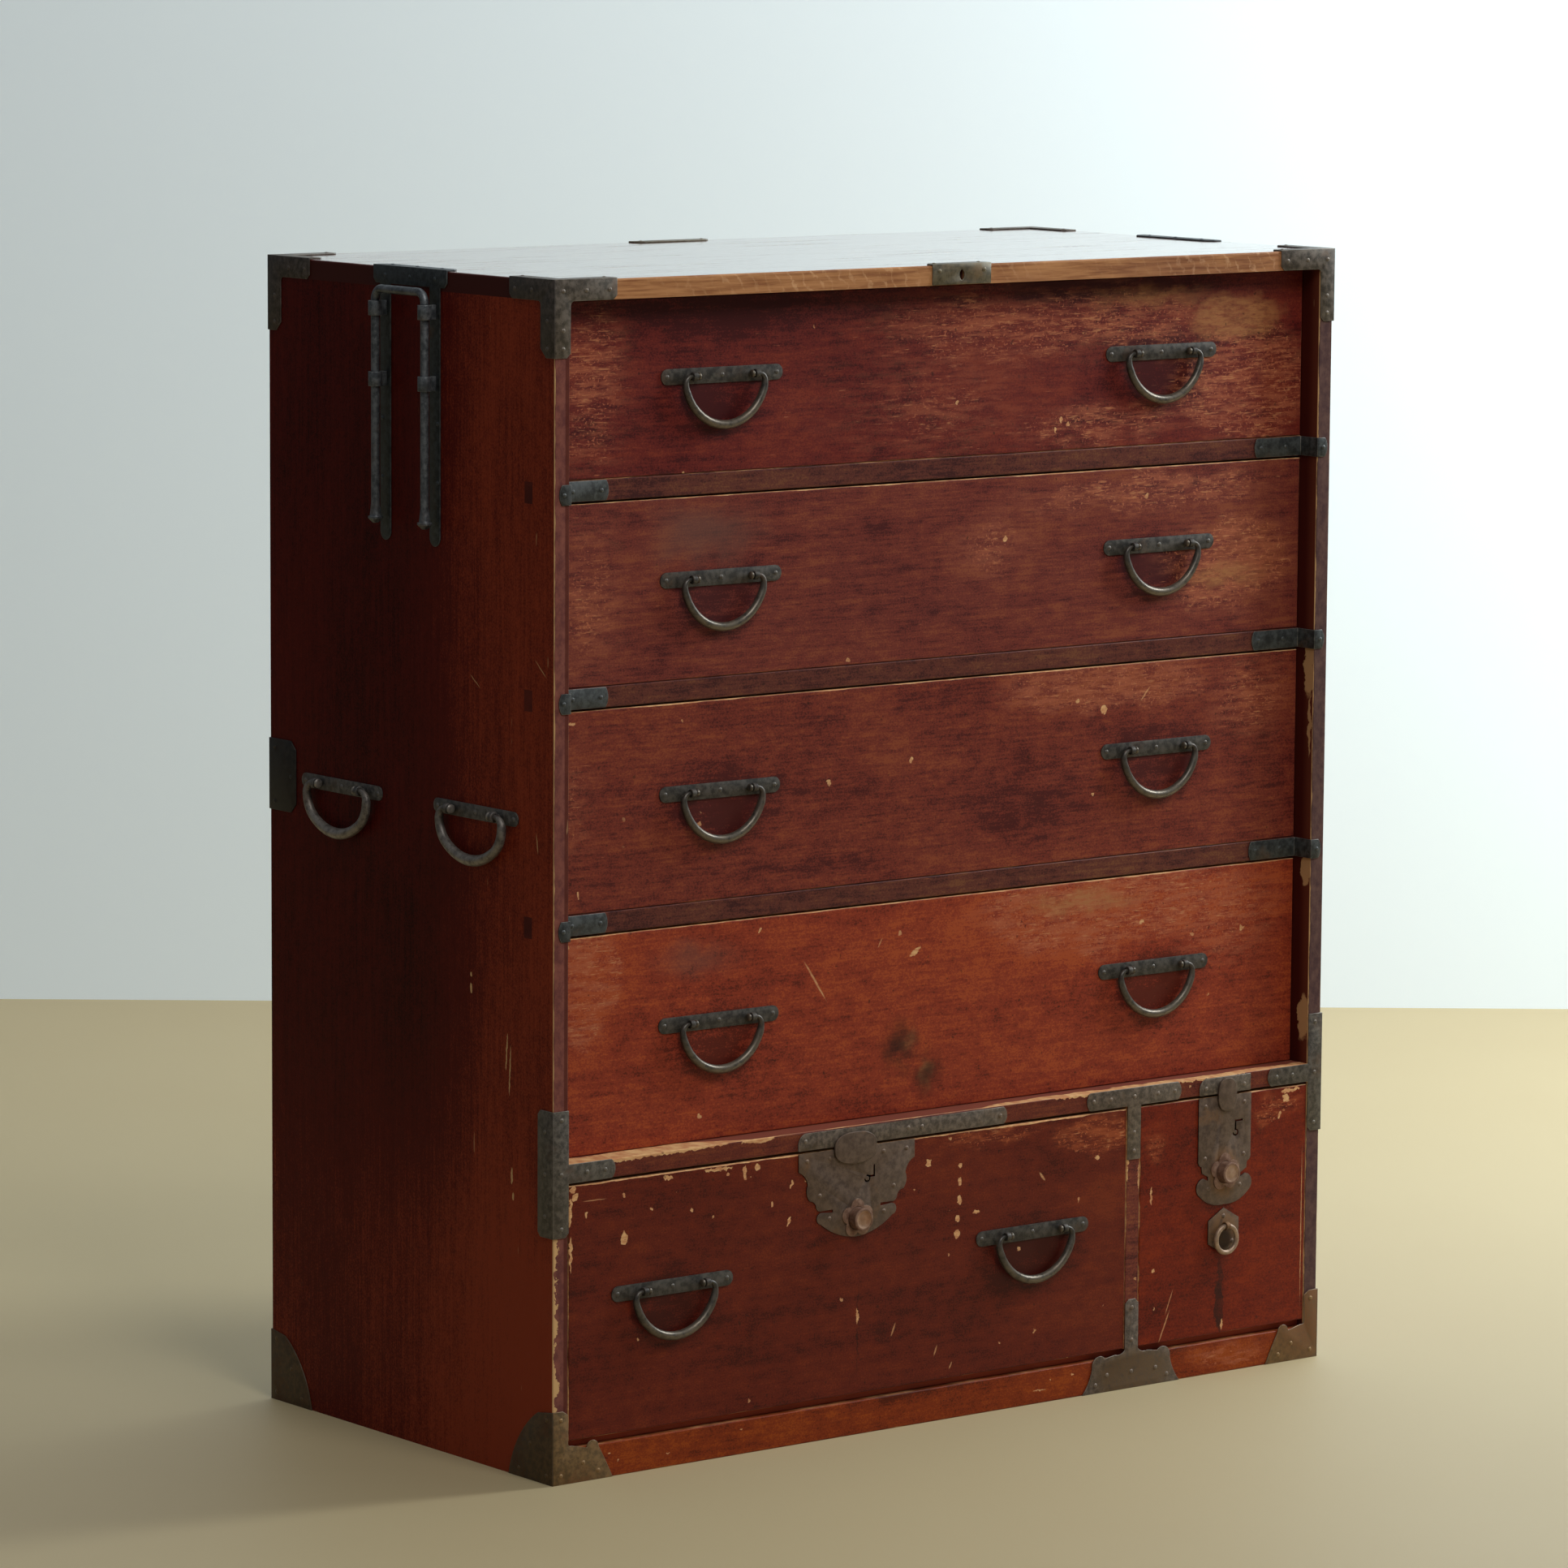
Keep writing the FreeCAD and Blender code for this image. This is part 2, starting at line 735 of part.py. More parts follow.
def lens_hole(x, z, width, height, depth):
    """A pointed-oval hole through a sheet."""
    face = face_on([(x, z - height / 2), (x + width / 2, z, x, z + height / 2),
                    (x - width / 2, z, x, z - height / 2)],
                   lambda px, pz: at(px, depth - iron_t - overrun, pz))
    return face.extrude(V(0, iron_t + 2 * overrun, 0))


def top_edge_plates():
    """The top lock's plate and the plate at the middle of the rear edge."""
    low_z = chest_height - top_plate_h
    top_z = chest_height + iron_t
    half = top_plate_w / 2
    face = front_sheet([(-half, low_z), (half, low_z), (half, top_z), (-half, top_z)])
    fold = top_sheet([(-half, 0), (half, 0), (half, top_fold / 2), (half - top_fold / 2, top_fold),
                      (-half + top_fold / 2, top_fold), (-half, top_fold / 2)])
    lock = joined([face, fold]).cut(lens_hole(0, top_keyhole_z(), top_keyhole_w,
                                              top_keyhole_h, 0))
    rear_half = rear_plate_w / 2
    back_low = chest_height - 2 * top_plate_h
    back = front_sheet([(-rear_half, back_low), (rear_half, back_low), (rear_half, top_z),
                        (-rear_half, top_z)], chest_depth + iron_t)
    inner = chest_depth - top_fold
    rear_fold = top_sheet([(-rear_half + top_fold / 2, inner), (rear_half - top_fold / 2, inner),
                           (rear_half, inner + top_fold / 2), (rear_half, chest_depth),
                           (-rear_half, chest_depth), (-rear_half, inner + top_fold / 2)])
    heads = front_nails([(side * (half - iron_inset), top_keyhole_z() + iron_inset / 2)
                         for side in (-1, 1)])
    heads += top_nails([(side * (half - iron_inset), top_fold / 2) for side in (-1, 1)])
    heads += top_nails([(side * (rear_half - iron_inset), inner + top_fold / 2)
                        for side in (-1, 1)])
    return [lock, joined([back, rear_fold])] + heads


def pole_depth():
    """How far behind the front the carrying handle's middle is."""
    return chest_depth - pole_from_back


def pole_handle_plate():
    """The iron under the left carrying handle, folded over the top's edge."""
    middle = pole_depth()
    bar_z = chest_height - pole_plate_bar_h
    top_z = chest_height + iron_t
    tongue_z = chest_height - pole_tongue_drop
    half_tongue = pole_tongue_w / 2
    tip = iron_inset / 2
    plates = [side_sheet([(middle - pole_plate_half, bar_z + tip),
                          (middle - pole_plate_half + tip, bar_z),
                          (middle + pole_plate_half - tip, bar_z),
                          (middle + pole_plate_half, bar_z + tip),
                          (middle + pole_plate_half, top_z), (middle - pole_plate_half, top_z)])]
    for side in (-1, 1):
        leg = middle + side * pole_half_spread
        plates.append(side_sheet([(leg - half_tongue, bar_z + tip),
                                  (leg - half_tongue, tongue_z + tip),
                                  (leg, tongue_z - tip,
                                   leg + half_tongue, tongue_z + tip),
                                  (leg + half_tongue, bar_z + tip)]))
    x0 = -half_width
    plates.append(top_sheet([(x0, middle - pole_plate_half), (x0, middle + pole_plate_half),
                             (x0 + top_fold / 2, middle + pole_plate_half),
                             (x0 + top_fold, middle + pole_plate_half - top_fold / 2),
                             (x0 + top_fold, middle - pole_plate_half + top_fold / 2),
                             (x0 + top_fold / 2, middle - pole_plate_half)]))
    span = (chest_height - sleeve_top_drop - tongue_z) / 4
    heads = []
    for side in (-1, 1):
        edge = middle + side * (pole_half_spread + half_tongue - nail_r - iron_t)
        heads += side_nails([(edge, tongue_z + i * span) for i in (1, 2)])
    heads += side_nails([(middle + i * pole_half_spread / 2, chest_height - pole_plate_bar_h / 2)
                         for i in (-2, 0, 2)])
    heads += top_nails([(x0 + top_fold / 2, middle + i * pole_half_spread) for i in (-1, 0, 1)])
    return [joined(plates)] + heads


def pole_handle_plates():
    """The irons under both carrying handles."""
    plates = pole_handle_plate()
    return plates + [mirrored(plate) for plate in plates]


def pole_axis_x():
    """The x of the left carrying bar's middle plane."""
    return -half_width - pole_stand


def sleeve_tops():
    """The heights of the two sleeves' upper ends."""
    first = chest_height - sleeve_top_drop
    return [first, first - sleeve_pitch]


def pole_sleeve(depth, top_z):
    """A sleeve round one leg of the bar, on a foot against the plate."""
    hole_r = pole_bar_r + fit_gap
    middle = at(pole_axis_x(), depth, top_z - sleeve_h)
    wall = Part.makeCylinder(hole_r + sleeve_wall, sleeve_h, middle)
    foot = block(pole_axis_x(), -half_width - iron_t, depth - sleeve_foot_w / 2,
                 depth + sleeve_foot_w / 2, top_z - sleeve_h, top_z)
    hole = Part.makeCylinder(hole_r, sleeve_h + 2 * overrun, middle - V(0, 0, overrun))
    return joined([wall, foot]).cut(hole)


def pole_handle_guides():
    """The four sleeves on each side."""
    sleeves = [pole_sleeve(pole_depth() + side * pole_half_spread, top_z)
               for side in (-1, 1) for top_z in sleeve_tops()]
    return sleeves + [mirrored(sleeve) for sleeve in sleeves]


def pole_bar():
    """The left carrying bar: two legs, a bent crossbar and a stop on each foot."""
    x = pole_axis_x()
    near = pole_depth() - pole_half_spread
    far = pole_depth() + pole_half_spread
    top_z = chest_height - pole_bar_drop
    foot_z = top_z - pole_bar_length
    bend_z = top_z - pole_bend_r
    slant = pole_bend_r * (1 - math.sqrt(0.5))
    path = Part.Wire([
        Part.makeLine(at(x, near, foot_z), at(x, near, bend_z)),
        Part.Arc(at(x, near, bend_z), at(x, near + slant, top_z - slant),
                 at(x, near + pole_bend_r, top_z)).toShape(),
        Part.makeLine(at(x, near + pole_bend_r, top_z), at(x, far - pole_bend_r, top_z)),
        Part.Arc(at(x, far - pole_bend_r, top_z), at(x, far - slant, top_z - slant),
                 at(x, far, bend_z)).toShape(),
        Part.makeLine(at(x, far, bend_z), at(x, far, foot_z))])
    section = Part.Wire(Part.makeCircle(pole_bar_r, at(x, near, foot_z), V(0, 0, 1)))
    bar = path.makePipeShell([section], True, False)
    return joined([bar] + [pole_stop(x, depth, foot_z) for depth in (near, far)])


def pole_stop(x, depth, z):
    """The flared and pointed stop on a leg's foot."""
    flare = Part.makeCone(pole_flare_r, pole_bar_r, pole_flare_h, at(x, depth, z))
    disc = Part.makeCylinder(pole_disc_r, pole_disc_t, at(x, depth, z - pole_disc_t))
    tip = Part.makeCone(pole_tip_r, pole_disc_r, pole_tip_h,
                        at(x, depth, z - pole_disc_t - pole_tip_h))
    return joined([flare, disc, tip])


def bail_line(half, drop, corner_r, shoulder_r):
    """Points along half a bail from its pin to its middle: (x, z, angle of travel)."""
    rise = drop - corner_r
    bottom_r = (half ** 2 + rise ** 2 - 2 * half * shoulder_r) / (2 * (rise - shoulder_r))
    bottom_z = bottom_r - drop
    swing = math.atan2(bottom_z + corner_r, half - shoulder_r)
    quarter = math.pi / 2
    arcs = [(half - corner_r, -corner_r, corner_r, quarter, 0.0),
            (half - shoulder_r, -corner_r, shoulder_r, 0.0, -swing),
            (0.0, bottom_z, bottom_r, -swing, -quarter)]
    pin_x = eye_half_spread - eye_length / 2 - bail_pin_past
    straight = half - corner_r - pin_x
    line = [(pin_x + straight * i / bail_steps, 0.0, 0.0) for i in range(bail_steps + 1)]
    for x, z, radius, start, end in arcs:
        for i in range(1, bail_steps + 1):
            a = start + (end - start) * i / bail_steps
            line.append((x + radius * math.cos(a), z + radius * math.sin(a), a - quarter))
    return line


def bail(half, drop, radii, corner_r, shoulder_r):
    """A tapered bail that hangs from a pivot on the X axis through the origin."""
    pin_r, side_r, middle_r = radii
    right = bail_line(half, drop, corner_r, shoulder_r)
    left = [(-x, z, -2 * math.pi - angle) for x, z, angle in reversed(right[:-1])]
    line = right + left
    rings = []
    for i, (x, z, angle) in enumerate(line):
        place = min(i, len(line) - 1 - i) / bail_steps
        if place < 1:
            radius = pin_r
        elif place < 2:
            radius = pin_r + (side_r - pin_r) * (place - 1)
        else:
            radius = side_r + (middle_r - side_r) * math.sin((place - 2) * math.pi / 4)
        circle = Part.makeCircle(radius, V(0, 0, 0), V(1, 0, 0))
        circle.rotate(V(0, 0, 0), V(0, 1, 0), -math.degrees(angle))
        circle.translate(V(x, 0, z))
        rings.append(Part.Wire(circle))
    return Part.makeLoft(rings, True, True)


def drawer_bail():
    """The bail of a drawer's pull, hanging at the origin."""
    return bail(bail_half_width, bail_drop, (bail_pin_r, bail_side_r, bail_middle_r),
                bail_corner_r, bail_shoulder_r)


def side_bail():
    """The bail of a side handle, hanging at the origin across the depth."""
    shape = bail(side_bail_half_width, side_bail_drop,
                 (side_bail_pin_r, side_bail_side_r, side_bail_middle_r),
                 side_bail_corner_r, side_bail_shoulder_r)
    shape.rotate(V(0, 0, 0), V(0, 0, 1), -90)
    return shape


def rolled_eye(stand, outer_r, pin_r):
    """An eye that stands on a stem at the origin, with its hole along X and facing -Y."""
    start = V(-eye_length / 2, -stand, 0)
    barrel = Part.makeCylinder(outer_r, eye_length, start, V(1, 0, 0))
    barrel = barrel.makeFillet(outer_r / 5, barrel.Edges)
    stem = Part.makeCylinder(eye_stem_r, stand, V(0, 0, 0), V(0, -1, 0))
    hole = Part.makeCylinder(pin_r + fit_gap, eye_length + 2 * overrun,
                             start - V(overrun, 0, 0), V(1, 0, 0))
    return joined([barrel, stem]).cut(hole)


def round_ended_plate(length, height):
    """A thin plate with rounded ends, its back on the origin and facing -Y."""
    half = length / 2
    rise = height / 2
    end = half - rise
    face = face_on([(-end, -rise), (end, -rise), (half, 0, end, rise), (-end, rise),
                    (-half, 0, -end, -rise)], lambda x, z: V(x, -iron_t, z))
    return face.extrude(V(0, iron_t, 0))


def pull_fittings(length, height, stand, outer_r, pin_r):
    """A handle plate with its eyes and nails, its back on the origin."""
    pieces = [round_ended_plate(length, height)]
    for side in (-1, 1):
        eye = rolled_eye(stand, outer_r, pin_r)
        eye.translate(V(side * eye_half_spread, -iron_t, 0))
        pieces.append(eye)
    for x in (-length / 2 + pull_nail_inset, 0, length / 2 - pull_nail_inset):
        pieces.append(nail(V(x, -iron_t, 0), V(0, -1, 0)))
    return pieces


def moved(shapes, offset, turn=0.0):
    """Copies of shapes turned about the upright axis and then moved."""
    copies = []
    for shape in shapes:
        copy = shape.copy()
        copy.rotate(V(0, 0, 0), V(0, 0, 1), turn)
        copy.translate(offset)
        copies.append(copy)
    return copies


def drawer_pulls(places, setback, z):
    """Both pull plates of a drawer."""
    parts = pull_fittings(pull_length, pull_height, pull_stand, eye_r, bail_pin_r)
    pulls = []
    for x in places:
        pulls += moved(parts, at(x, setback, z))
    return pulls


def pull_bail(x, setback, z):
    """A drawer's bail, hung in its eyes."""
    return moved([drawer_bail()], at(x, setback - iron_t - pull_stand, z))


def side_handle_places():
    """Side and depth of each side handle."""
    return [(side, depth) for side in (-1, 1)
            for depth in (side_handle_inset, chest_depth - side_handle_inset)]


def side_handle_plates():
    """The four side handles' plates, eyes and nails."""
    parts = pull_fittings(side_plate_length, side_plate_height, side_bail_stand, side_eye_r,
                          side_bail_pin_r)
    plates = []
    for side, depth in side_handle_places():
        plates += moved(parts, at(side * half_width, depth, side_handle_z), side * 90)
    return plates


def hung_side_bail(side, depth):
    """A side bail in its eyes."""
    x = side * (half_width + iron_t + side_bail_stand)
    return moved([side_bail()], at(x, depth, side_handle_z))


def drawer_front(x0, x1, setback, z0, z1):
    """A drawer's front, rebated at its ends and foot for the box."""
    front = block(x0, x1, setback, setback + front_t, z0, z1)
    front = rounded_front(front, edge_round, setback)
    start = setback + front_t - front_lap
    end = setback + front_t + overrun
    for near, far in ((x0 - overrun, x0 + box_side_t), (x1 - box_side_t, x1 + overrun)):
        front = front.cut(block(near, far, start, end, z0 - overrun, z1 + overrun))
    return front.cut(block(x0 - overrun, x1 + overrun, start, end, z0 - overrun,
                           z0 + box_bottom_t))


def drawer_box(x0, x1, setback, z0, z1):
    """The sides, back and bottom of a drawer."""
    start = setback + front_t - front_lap
    high = z1 - box_side_drop
    bottom_z = z0 + box_bottom_t
    bottom = block(x0, x1, start, drawer_end, z0, bottom_z)
    left = block(x0, x0 + box_side_t, start, drawer_end, bottom_z, high)
    right = block(x1 - box_side_t, x1, start, drawer_end, bottom_z, high)
    back = block(x0 + box_side_t, x1 - box_side_t, drawer_end - box_side_t, drawer_end,
                 bottom_z, high)
    return [left, right, back, bottom]


def upper_drawer_span(index):
    """Left, right, foot and top of an upper drawer, the lowest being 0."""
    foot = bay_floors[index] + run_gap
    top = bay_floors[index] + upper_bay_heights[index] - top_gap
    return -inner_half + side_gap, inner_half - side_gap, foot, top


def lower_drawer_span(left_wall, right_wall):
    """Left, right, foot and top of a lower drawer between two walls."""
    foot = lower_floor_z + run_gap
    top = main_rail_z - lower_top_gap
    return left_wall + side_gap, right_wall - side_gap, foot, top


large_middle = (partition_left - inner_half) / 2
small_middle = (partition_right + inner_half) / 2


def plate_from(shares, middle, top_z, half, height):
    """A whole plate from half an outline: out from its middle, and down from its top."""
    path = shifted(outline_of(shares, half, -height, 0.0), middle, top_z)
    right = front_sheet(path)
    return joined([right, right.mirror(at(middle, 0, 0), V(1, 0, 0))])


def rosette(x, z, lobe_r, ring_r):
    """A five-lobed flower on a lock plate."""
    lobes = []
    for i in range(5):
        a = math.pi / 2 + i * 2 * math.pi / 5
        middle = at(x + ring_r * math.cos(a), -iron_t, z + ring_r * math.sin(a))
        lobes.append(Part.makeCylinder(lobe_r, rosette_t, middle, V(0, -1, 0)))
    lobes.append(Part.makeCylinder(ring_r, rosette_t, at(x, -iron_t, z), V(0, -1, 0)))
    return joined(lobes)


def seam_cover(middle, top_z, width, height, rise, shift):
    """The oval iron that a lock plate carries over the seam under the main rail."""
    x = middle - shift
    z = top_z + rise - height / 2
    points = []
    for i in range(oval_points):
        c = math.cos(2 * math.pi * i / oval_points)
        s = math.sin(2 * math.pi * i / oval_points)
        points.append(at(x + width / 2 * math.copysign(abs(c) ** oval_share, c),
                         -iron_t - cover_gap - cover_t,
                         z + height / 2 * math.copysign(abs(s) ** oval_share, s)))
    curve = Part.BSplineCurve()
    curve.interpolate(points, PeriodicFlag=True)
    oval = Part.Face(Part.Wire(curve.toShape())).extrude(V(0, cover_t, 0))
    front = at(x, -iron_t - cover_gap - cover_t, z).y
    oval = eased(oval, cover_t / 3, lambda spot: abs(spot.y - front) < cover_gap)
    packing = block(x - width / 4, x + width / 4, -iron_t - cover_gap, -iron_t,
                    z - height / 3, top_z - lower_top_gap)
    return [oval, packing]


def key_slot(x, z, kick):
    """The hooked key slot round its post, to be cut from a plate."""
    deep = iron_t + 2 * overrun
    start = at(x, -iron_t - overrun, z)
    ring = Part.makeCylinder(key_ring_r, deep, start, V(0, 1, 0))
    ring = ring.cut(Part.makeCylinder(key_post_r, deep, start, V(0, 1, 0)))
    keep = block(x - key_ring_r, x - key_post_r / 2, -iron_t - overrun, overrun, z,
                 z + key_ring_r)
    ring = ring.cut(keep)
    lean = 1 if kick > 0 else 0
    slot_x = x + lean * abs(kick)
    slot = block(slot_x - key_slot_w / 2, slot_x + key_slot_w / 2, -iron_t - overrun, overrun,
                 z + key_ring_r / 2, z + 3.4 * key_ring_r)
    link_z = z + (key_ring_r / 2 if lean else 3.1 * key_ring_r)
    link = block(x - key_slot_w / 2 * (1 - lean), x + abs(kick) + key_slot_w / 2,
                 -iron_t - overrun, overrun, link_z - key_slot_w / 2, link_z + key_slot_w / 2)
    if lean:
        link = link.cut(Part.makeCylinder(key_post_r, deep, start, V(0, 1, 0)))
    return joined([ring, slot, link])


def lock_plate(middle, sizes):
    """A lock plate with its seam cover, rosette, key slot, button hole and nails."""
    top_z = main_rail_z - lower_top_gap
    button_z = top_z - sizes["button_drop"]
    key_x = middle + sizes["key_out"]
    key_z = top_z - sizes["key_drop"]
    hole = rod(at(middle, -iron_t - rosette_t - overrun, button_z),
               at(middle, overrun, button_z), button_r + fit_gap)
    half = sizes["half"]
    high = sizes["height"]
    plate = plate_from(sizes["plate_shares"], middle, top_z, half, high)
    plate = joined([plate, rosette(middle, button_z, sizes["lobe_r"], sizes["lobe_ring"])])
    plate = plate.cut(hole).cut(key_slot(key_x, key_z, sizes["key_kick"]))
    cover = seam_cover(middle, top_z, sizes["cover_w"], sizes["cover_h"], sizes["cover_rise"],
                       sizes["cover_shift"])
    plate = joined([plate] + cover)
    heads = front_nails([(middle + side * across * half, top_z - down * high)
                         for side in (-1, 1) for across, down in sizes["nail_shares"]])
    return [plate] + heads


large_lock = {"half": large_plate_half, "height": large_plate_h,
              "button_drop": large_button_drop, "button_reach": large_button_reach,
              "cover_w": large_cover_w, "cover_h": large_cover_h,
              "cover_rise": large_cover_rise, "cover_shift": large_cover_shift,
              "key_out": large_key_out, "key_drop": large_key_drop,
              "key_kick": large_key_kick, "lobe_r": large_lobe_r,
              "lobe_ring": large_lobe_ring, "plate_shares": large_plate_shares,
              "nail_shares": large_nail_shares}
small_lock = {"half": small_plate_half, "height": small_plate_h,
              "button_drop": small_button_drop, "button_reach": small_button_reach,
              "cover_w": small_cover_w, "cover_h": small_cover_h,
              "cover_rise": small_cover_rise, "cover_shift": small_cover_shift,
              "key_out": small_key_out, "key_drop": small_key_drop,
              "key_kick": small_key_kick, "lobe_r": small_lobe_r,
              "lobe_ring": small_lobe_ring, "plate_shares": small_plate_shares,
              "nail_shares": small_nail_shares}


def lock_cuts(middle, sizes):
    """The pocket of the bolt, the key bore and the button's bore in a drawer's front."""
    top_z = main_rail_z - lower_top_gap
    half = bolt_w / 2 + fit_gap
    bolt_top = top_z - bolt_top_gap
    pocket = block(middle - half, middle + half, bolt_inset - fit_gap,
                   bolt_inset + bolt_t + fit_gap, bolt_top - bolt_h - fit_gap, top_z + overrun)
    button_z = top_z - sizes["button_drop"]
    bore = rod(at(middle, -overrun, button_z),
               at(middle, button_seat + button_travel + fit_gap, button_z), button_r + fit_gap)
    key_x = middle + sizes["key_out"] + sizes["key_kick"] / 2
    key_z = top_z - sizes["key_drop"]
    key = block(key_x - key_bore_w / 2, key_x + key_bore_w / 2, -overrun, bolt_inset,
                key_z - key_ring_r - fit_gap, key_z + 3 * key_ring_r)
    return [pocket, bore, key]


def lock_bolt(middle):
    """The tongue that rises into the main rail."""
    top = main_rail_z - lower_top_gap - bolt_top_gap
    return [block(middle - bolt_w / 2, middle + bolt_w / 2, bolt_inset, bolt_inset + bolt_t,
                  top - bolt_h, top)]


def lock_button(middle, sizes):
    """The round button in the rosette."""
    z = main_rail_z - lower_top_gap - sizes["button_drop"]
    reach = iron_t + rosette_t + sizes["button_reach"]
    body = rod(at(middle, -reach, z), at(middle, button_seat, z), button_r)
    y = front_y - reach
    return [eased(body, button_dome, lambda middle_point: abs(middle_point.y - y) < fit_gap)]


def ring_middle_z():
    """The height of the ring pull's pivot."""
    return main_rail_z - lower_top_gap - hex_below_top + ring_pivot_up


def ring_plate():
    """The six-sided plate of the ring pull, with its eye and nails."""
    middle_z = main_rail_z - lower_top_gap - hex_below_top
    corners = []
    for i in range(6):
        a = math.pi / 6 + i * math.pi / 3
        corners.append((small_middle + hex_r * math.cos(a), middle_z + hex_r * math.sin(a)))
    plate = front_sheet(corners)
    z = ring_middle_z()
    reach = iron_t + ring_stand
    barrel = rod(at(small_middle - ring_eye_w / 2, -reach, z),
                 at(small_middle + ring_eye_w / 2, -reach, z), ring_eye_r)
    barrel = barrel.makeFillet(ring_eye_r / 6, barrel.Edges)
    stem = rod(at(small_middle, -reach, z), at(small_middle, -iron_t, z), eye_stem_r)
    hole = rod(at(small_middle - ring_eye_w, -reach, z), at(small_middle + ring_eye_w, -reach, z),
               ring_hole_r)
    heads = front_nails([(small_middle, middle_z + hex_r - iron_inset),
                         (small_middle - hex_r / 2, middle_z - hex_r / 2),
                         (small_middle + hex_r / 2, middle_z - hex_r / 2)])
    return [plate, joined([barrel, stem]).cut(hole)] + heads


def ring():
    """The ring, hung in its eye and turned to lie along the drawer's front."""
    z = ring_middle_z() - ring_mid_r
    middle = at(small_middle, -iron_t - ring_stand, z)
    return [Part.makeTorus(ring_mid_r, ring_bar_r, middle, V(0, 1, 0))]


def write(name, solids):
    """One STEP file with a node's solids."""
    shape = solids[0] if len(solids) == 1 else Part.makeCompound(solids)
    if not shape.isValid():
        print("not valid:", name)
    shape.exportStep(os.path.join("parts", name + ".step"))


def write_carcass():
    """The boards and irons that stand still, and what moves on them."""
    left = side_panel()
    write("side_panel_left", [left])
    write("side_panel_right", [mirrored(left)])
    write("top_panel", top_panel())
    write("base_boards", base_boards())
    write("floor_panel", floor_panel())
    write("drawer_rails", drawer_rails())
    write("main_rail", main_rail())
    write("dust_boards", dust_boards())
    write("partition", partition())
    write("back_boards", back_boards())
    write("top_corner_irons", top_corner_irons())
    write("bottom_corner_irons", bottom_corner_irons())
    write("edge_straps", edge_straps())
    write("rail_straps", rail_straps())
    write("main_rail_irons", main_rail_irons())
    write("top_edge_plates", top_edge_plates())
    write("pole_handle_plates", pole_handle_plates())
    write("pole_handle_guides", pole_handle_guides())
    write("side_handle_plates", side_handle_plates())
    write("top_lock_bolt", top_lock_bolt())
    bar = pole_bar()
    write("pole_bar_left", [bar])
    write("pole_bar_right", [mirrored(bar)])
    names = ["left_front", "left_rear", "right_front", "right_rear"]
    for name, (side, depth) in zip(names, side_handle_places()):
        write("side_bail_" + name, hung_side_bail(side, depth))


def write_drawer(name, span, setback, insets, cuts):
    """A drawer's front and box, and its pulls if their distances from its ends are given."""
    x0, x1, z0, z1 = span
    front = drawer_front(x0, x1, setback, z0, z1)
    for cut in cuts:
        front = front.cut(cut)
    write(name + "_front", [front])
    write(name + "_box", drawer_box(x0, x1, setback, z0, z1))
    if insets:
        places = [x0 + insets[0], x1 - insets[1]]
        z = z0 + pull_height_share * (z1 - z0)
        write(name + "_pulls", drawer_pulls(places, setback, z))
        write(name + "_bail_left", pull_bail(places[0], setback, z))
        write(name + "_bail_right", pull_bail(places[1], setback, z))


def write_drawers():
    """The four wide drawers, numbered from the top, and the two locked ones."""
    count = len(upper_bay_heights)
    for index in range(count):
        write_drawer("drawer_%d" % (count - index), upper_drawer_span(index), recess,
                     (pull_inset_left, pull_inset_right), [])
    large_span = lower_drawer_span(-inner_half, partition_left)
    write_drawer("large_drawer", large_span, 0.0, (large_pull_inset, large_pull_inset),
                 lock_cuts(large_middle, large_lock))
    write("large_drawer_lock_plate", lock_plate(large_middle, large_lock))
    write("large_drawer_lock_bolt", lock_bolt(large_middle))
    write("large_drawer_lock_button", lock_button(large_middle, large_lock))
    small_span = lower_drawer_span(partition_right, inner_half)
    write_drawer("small_drawer", small_span, 0.0, (), lock_cuts(small_middle, small_lock))
    write("small_drawer_lock_plate", lock_plate(small_middle, small_lock) + ring_plate())
    write("small_drawer_lock_bolt", lock_bolt(small_middle))
    write("small_drawer_lock_button", lock_button(small_middle, small_lock))
    write("small_drawer_ring", ring())


os.makedirs("parts", exist_ok=True)
write_carcass()
write_drawers()
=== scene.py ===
import logging
import math
from dataclasses import dataclass, replace
from enum import Enum

import bpy
from mathutils import Matrix, Vector


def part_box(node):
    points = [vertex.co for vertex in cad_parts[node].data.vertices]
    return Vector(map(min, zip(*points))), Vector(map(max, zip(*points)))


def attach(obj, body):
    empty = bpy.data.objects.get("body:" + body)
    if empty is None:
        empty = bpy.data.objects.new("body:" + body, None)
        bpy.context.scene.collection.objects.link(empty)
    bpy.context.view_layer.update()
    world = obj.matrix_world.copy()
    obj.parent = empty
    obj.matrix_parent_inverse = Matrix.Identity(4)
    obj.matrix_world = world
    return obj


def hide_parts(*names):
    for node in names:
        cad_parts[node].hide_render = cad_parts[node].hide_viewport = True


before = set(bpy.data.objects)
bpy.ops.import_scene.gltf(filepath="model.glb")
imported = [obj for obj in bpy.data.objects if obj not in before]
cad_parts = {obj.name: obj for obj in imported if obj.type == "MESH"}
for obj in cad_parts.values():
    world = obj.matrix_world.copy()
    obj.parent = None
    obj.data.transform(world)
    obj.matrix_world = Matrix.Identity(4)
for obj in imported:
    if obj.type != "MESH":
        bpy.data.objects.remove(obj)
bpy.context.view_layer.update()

MM = 0.001
LOG = logging.getLogger("chest")

Colour = tuple[float, float, float, float]
Triple = tuple[float, float, float]
Material = bpy.types.Material
Piece = bpy.types.Object
Socket = bpy.types.NodeSocket
Value = Socket | float | Triple | Colour | str

# In millimetres. X runs to the right, Y to the back and Z up
HALF_WIDTH = 452.5
INNER_HALF = 436.5
FRONT_Y = -214.95
IRON_THICKNESS = 1.2

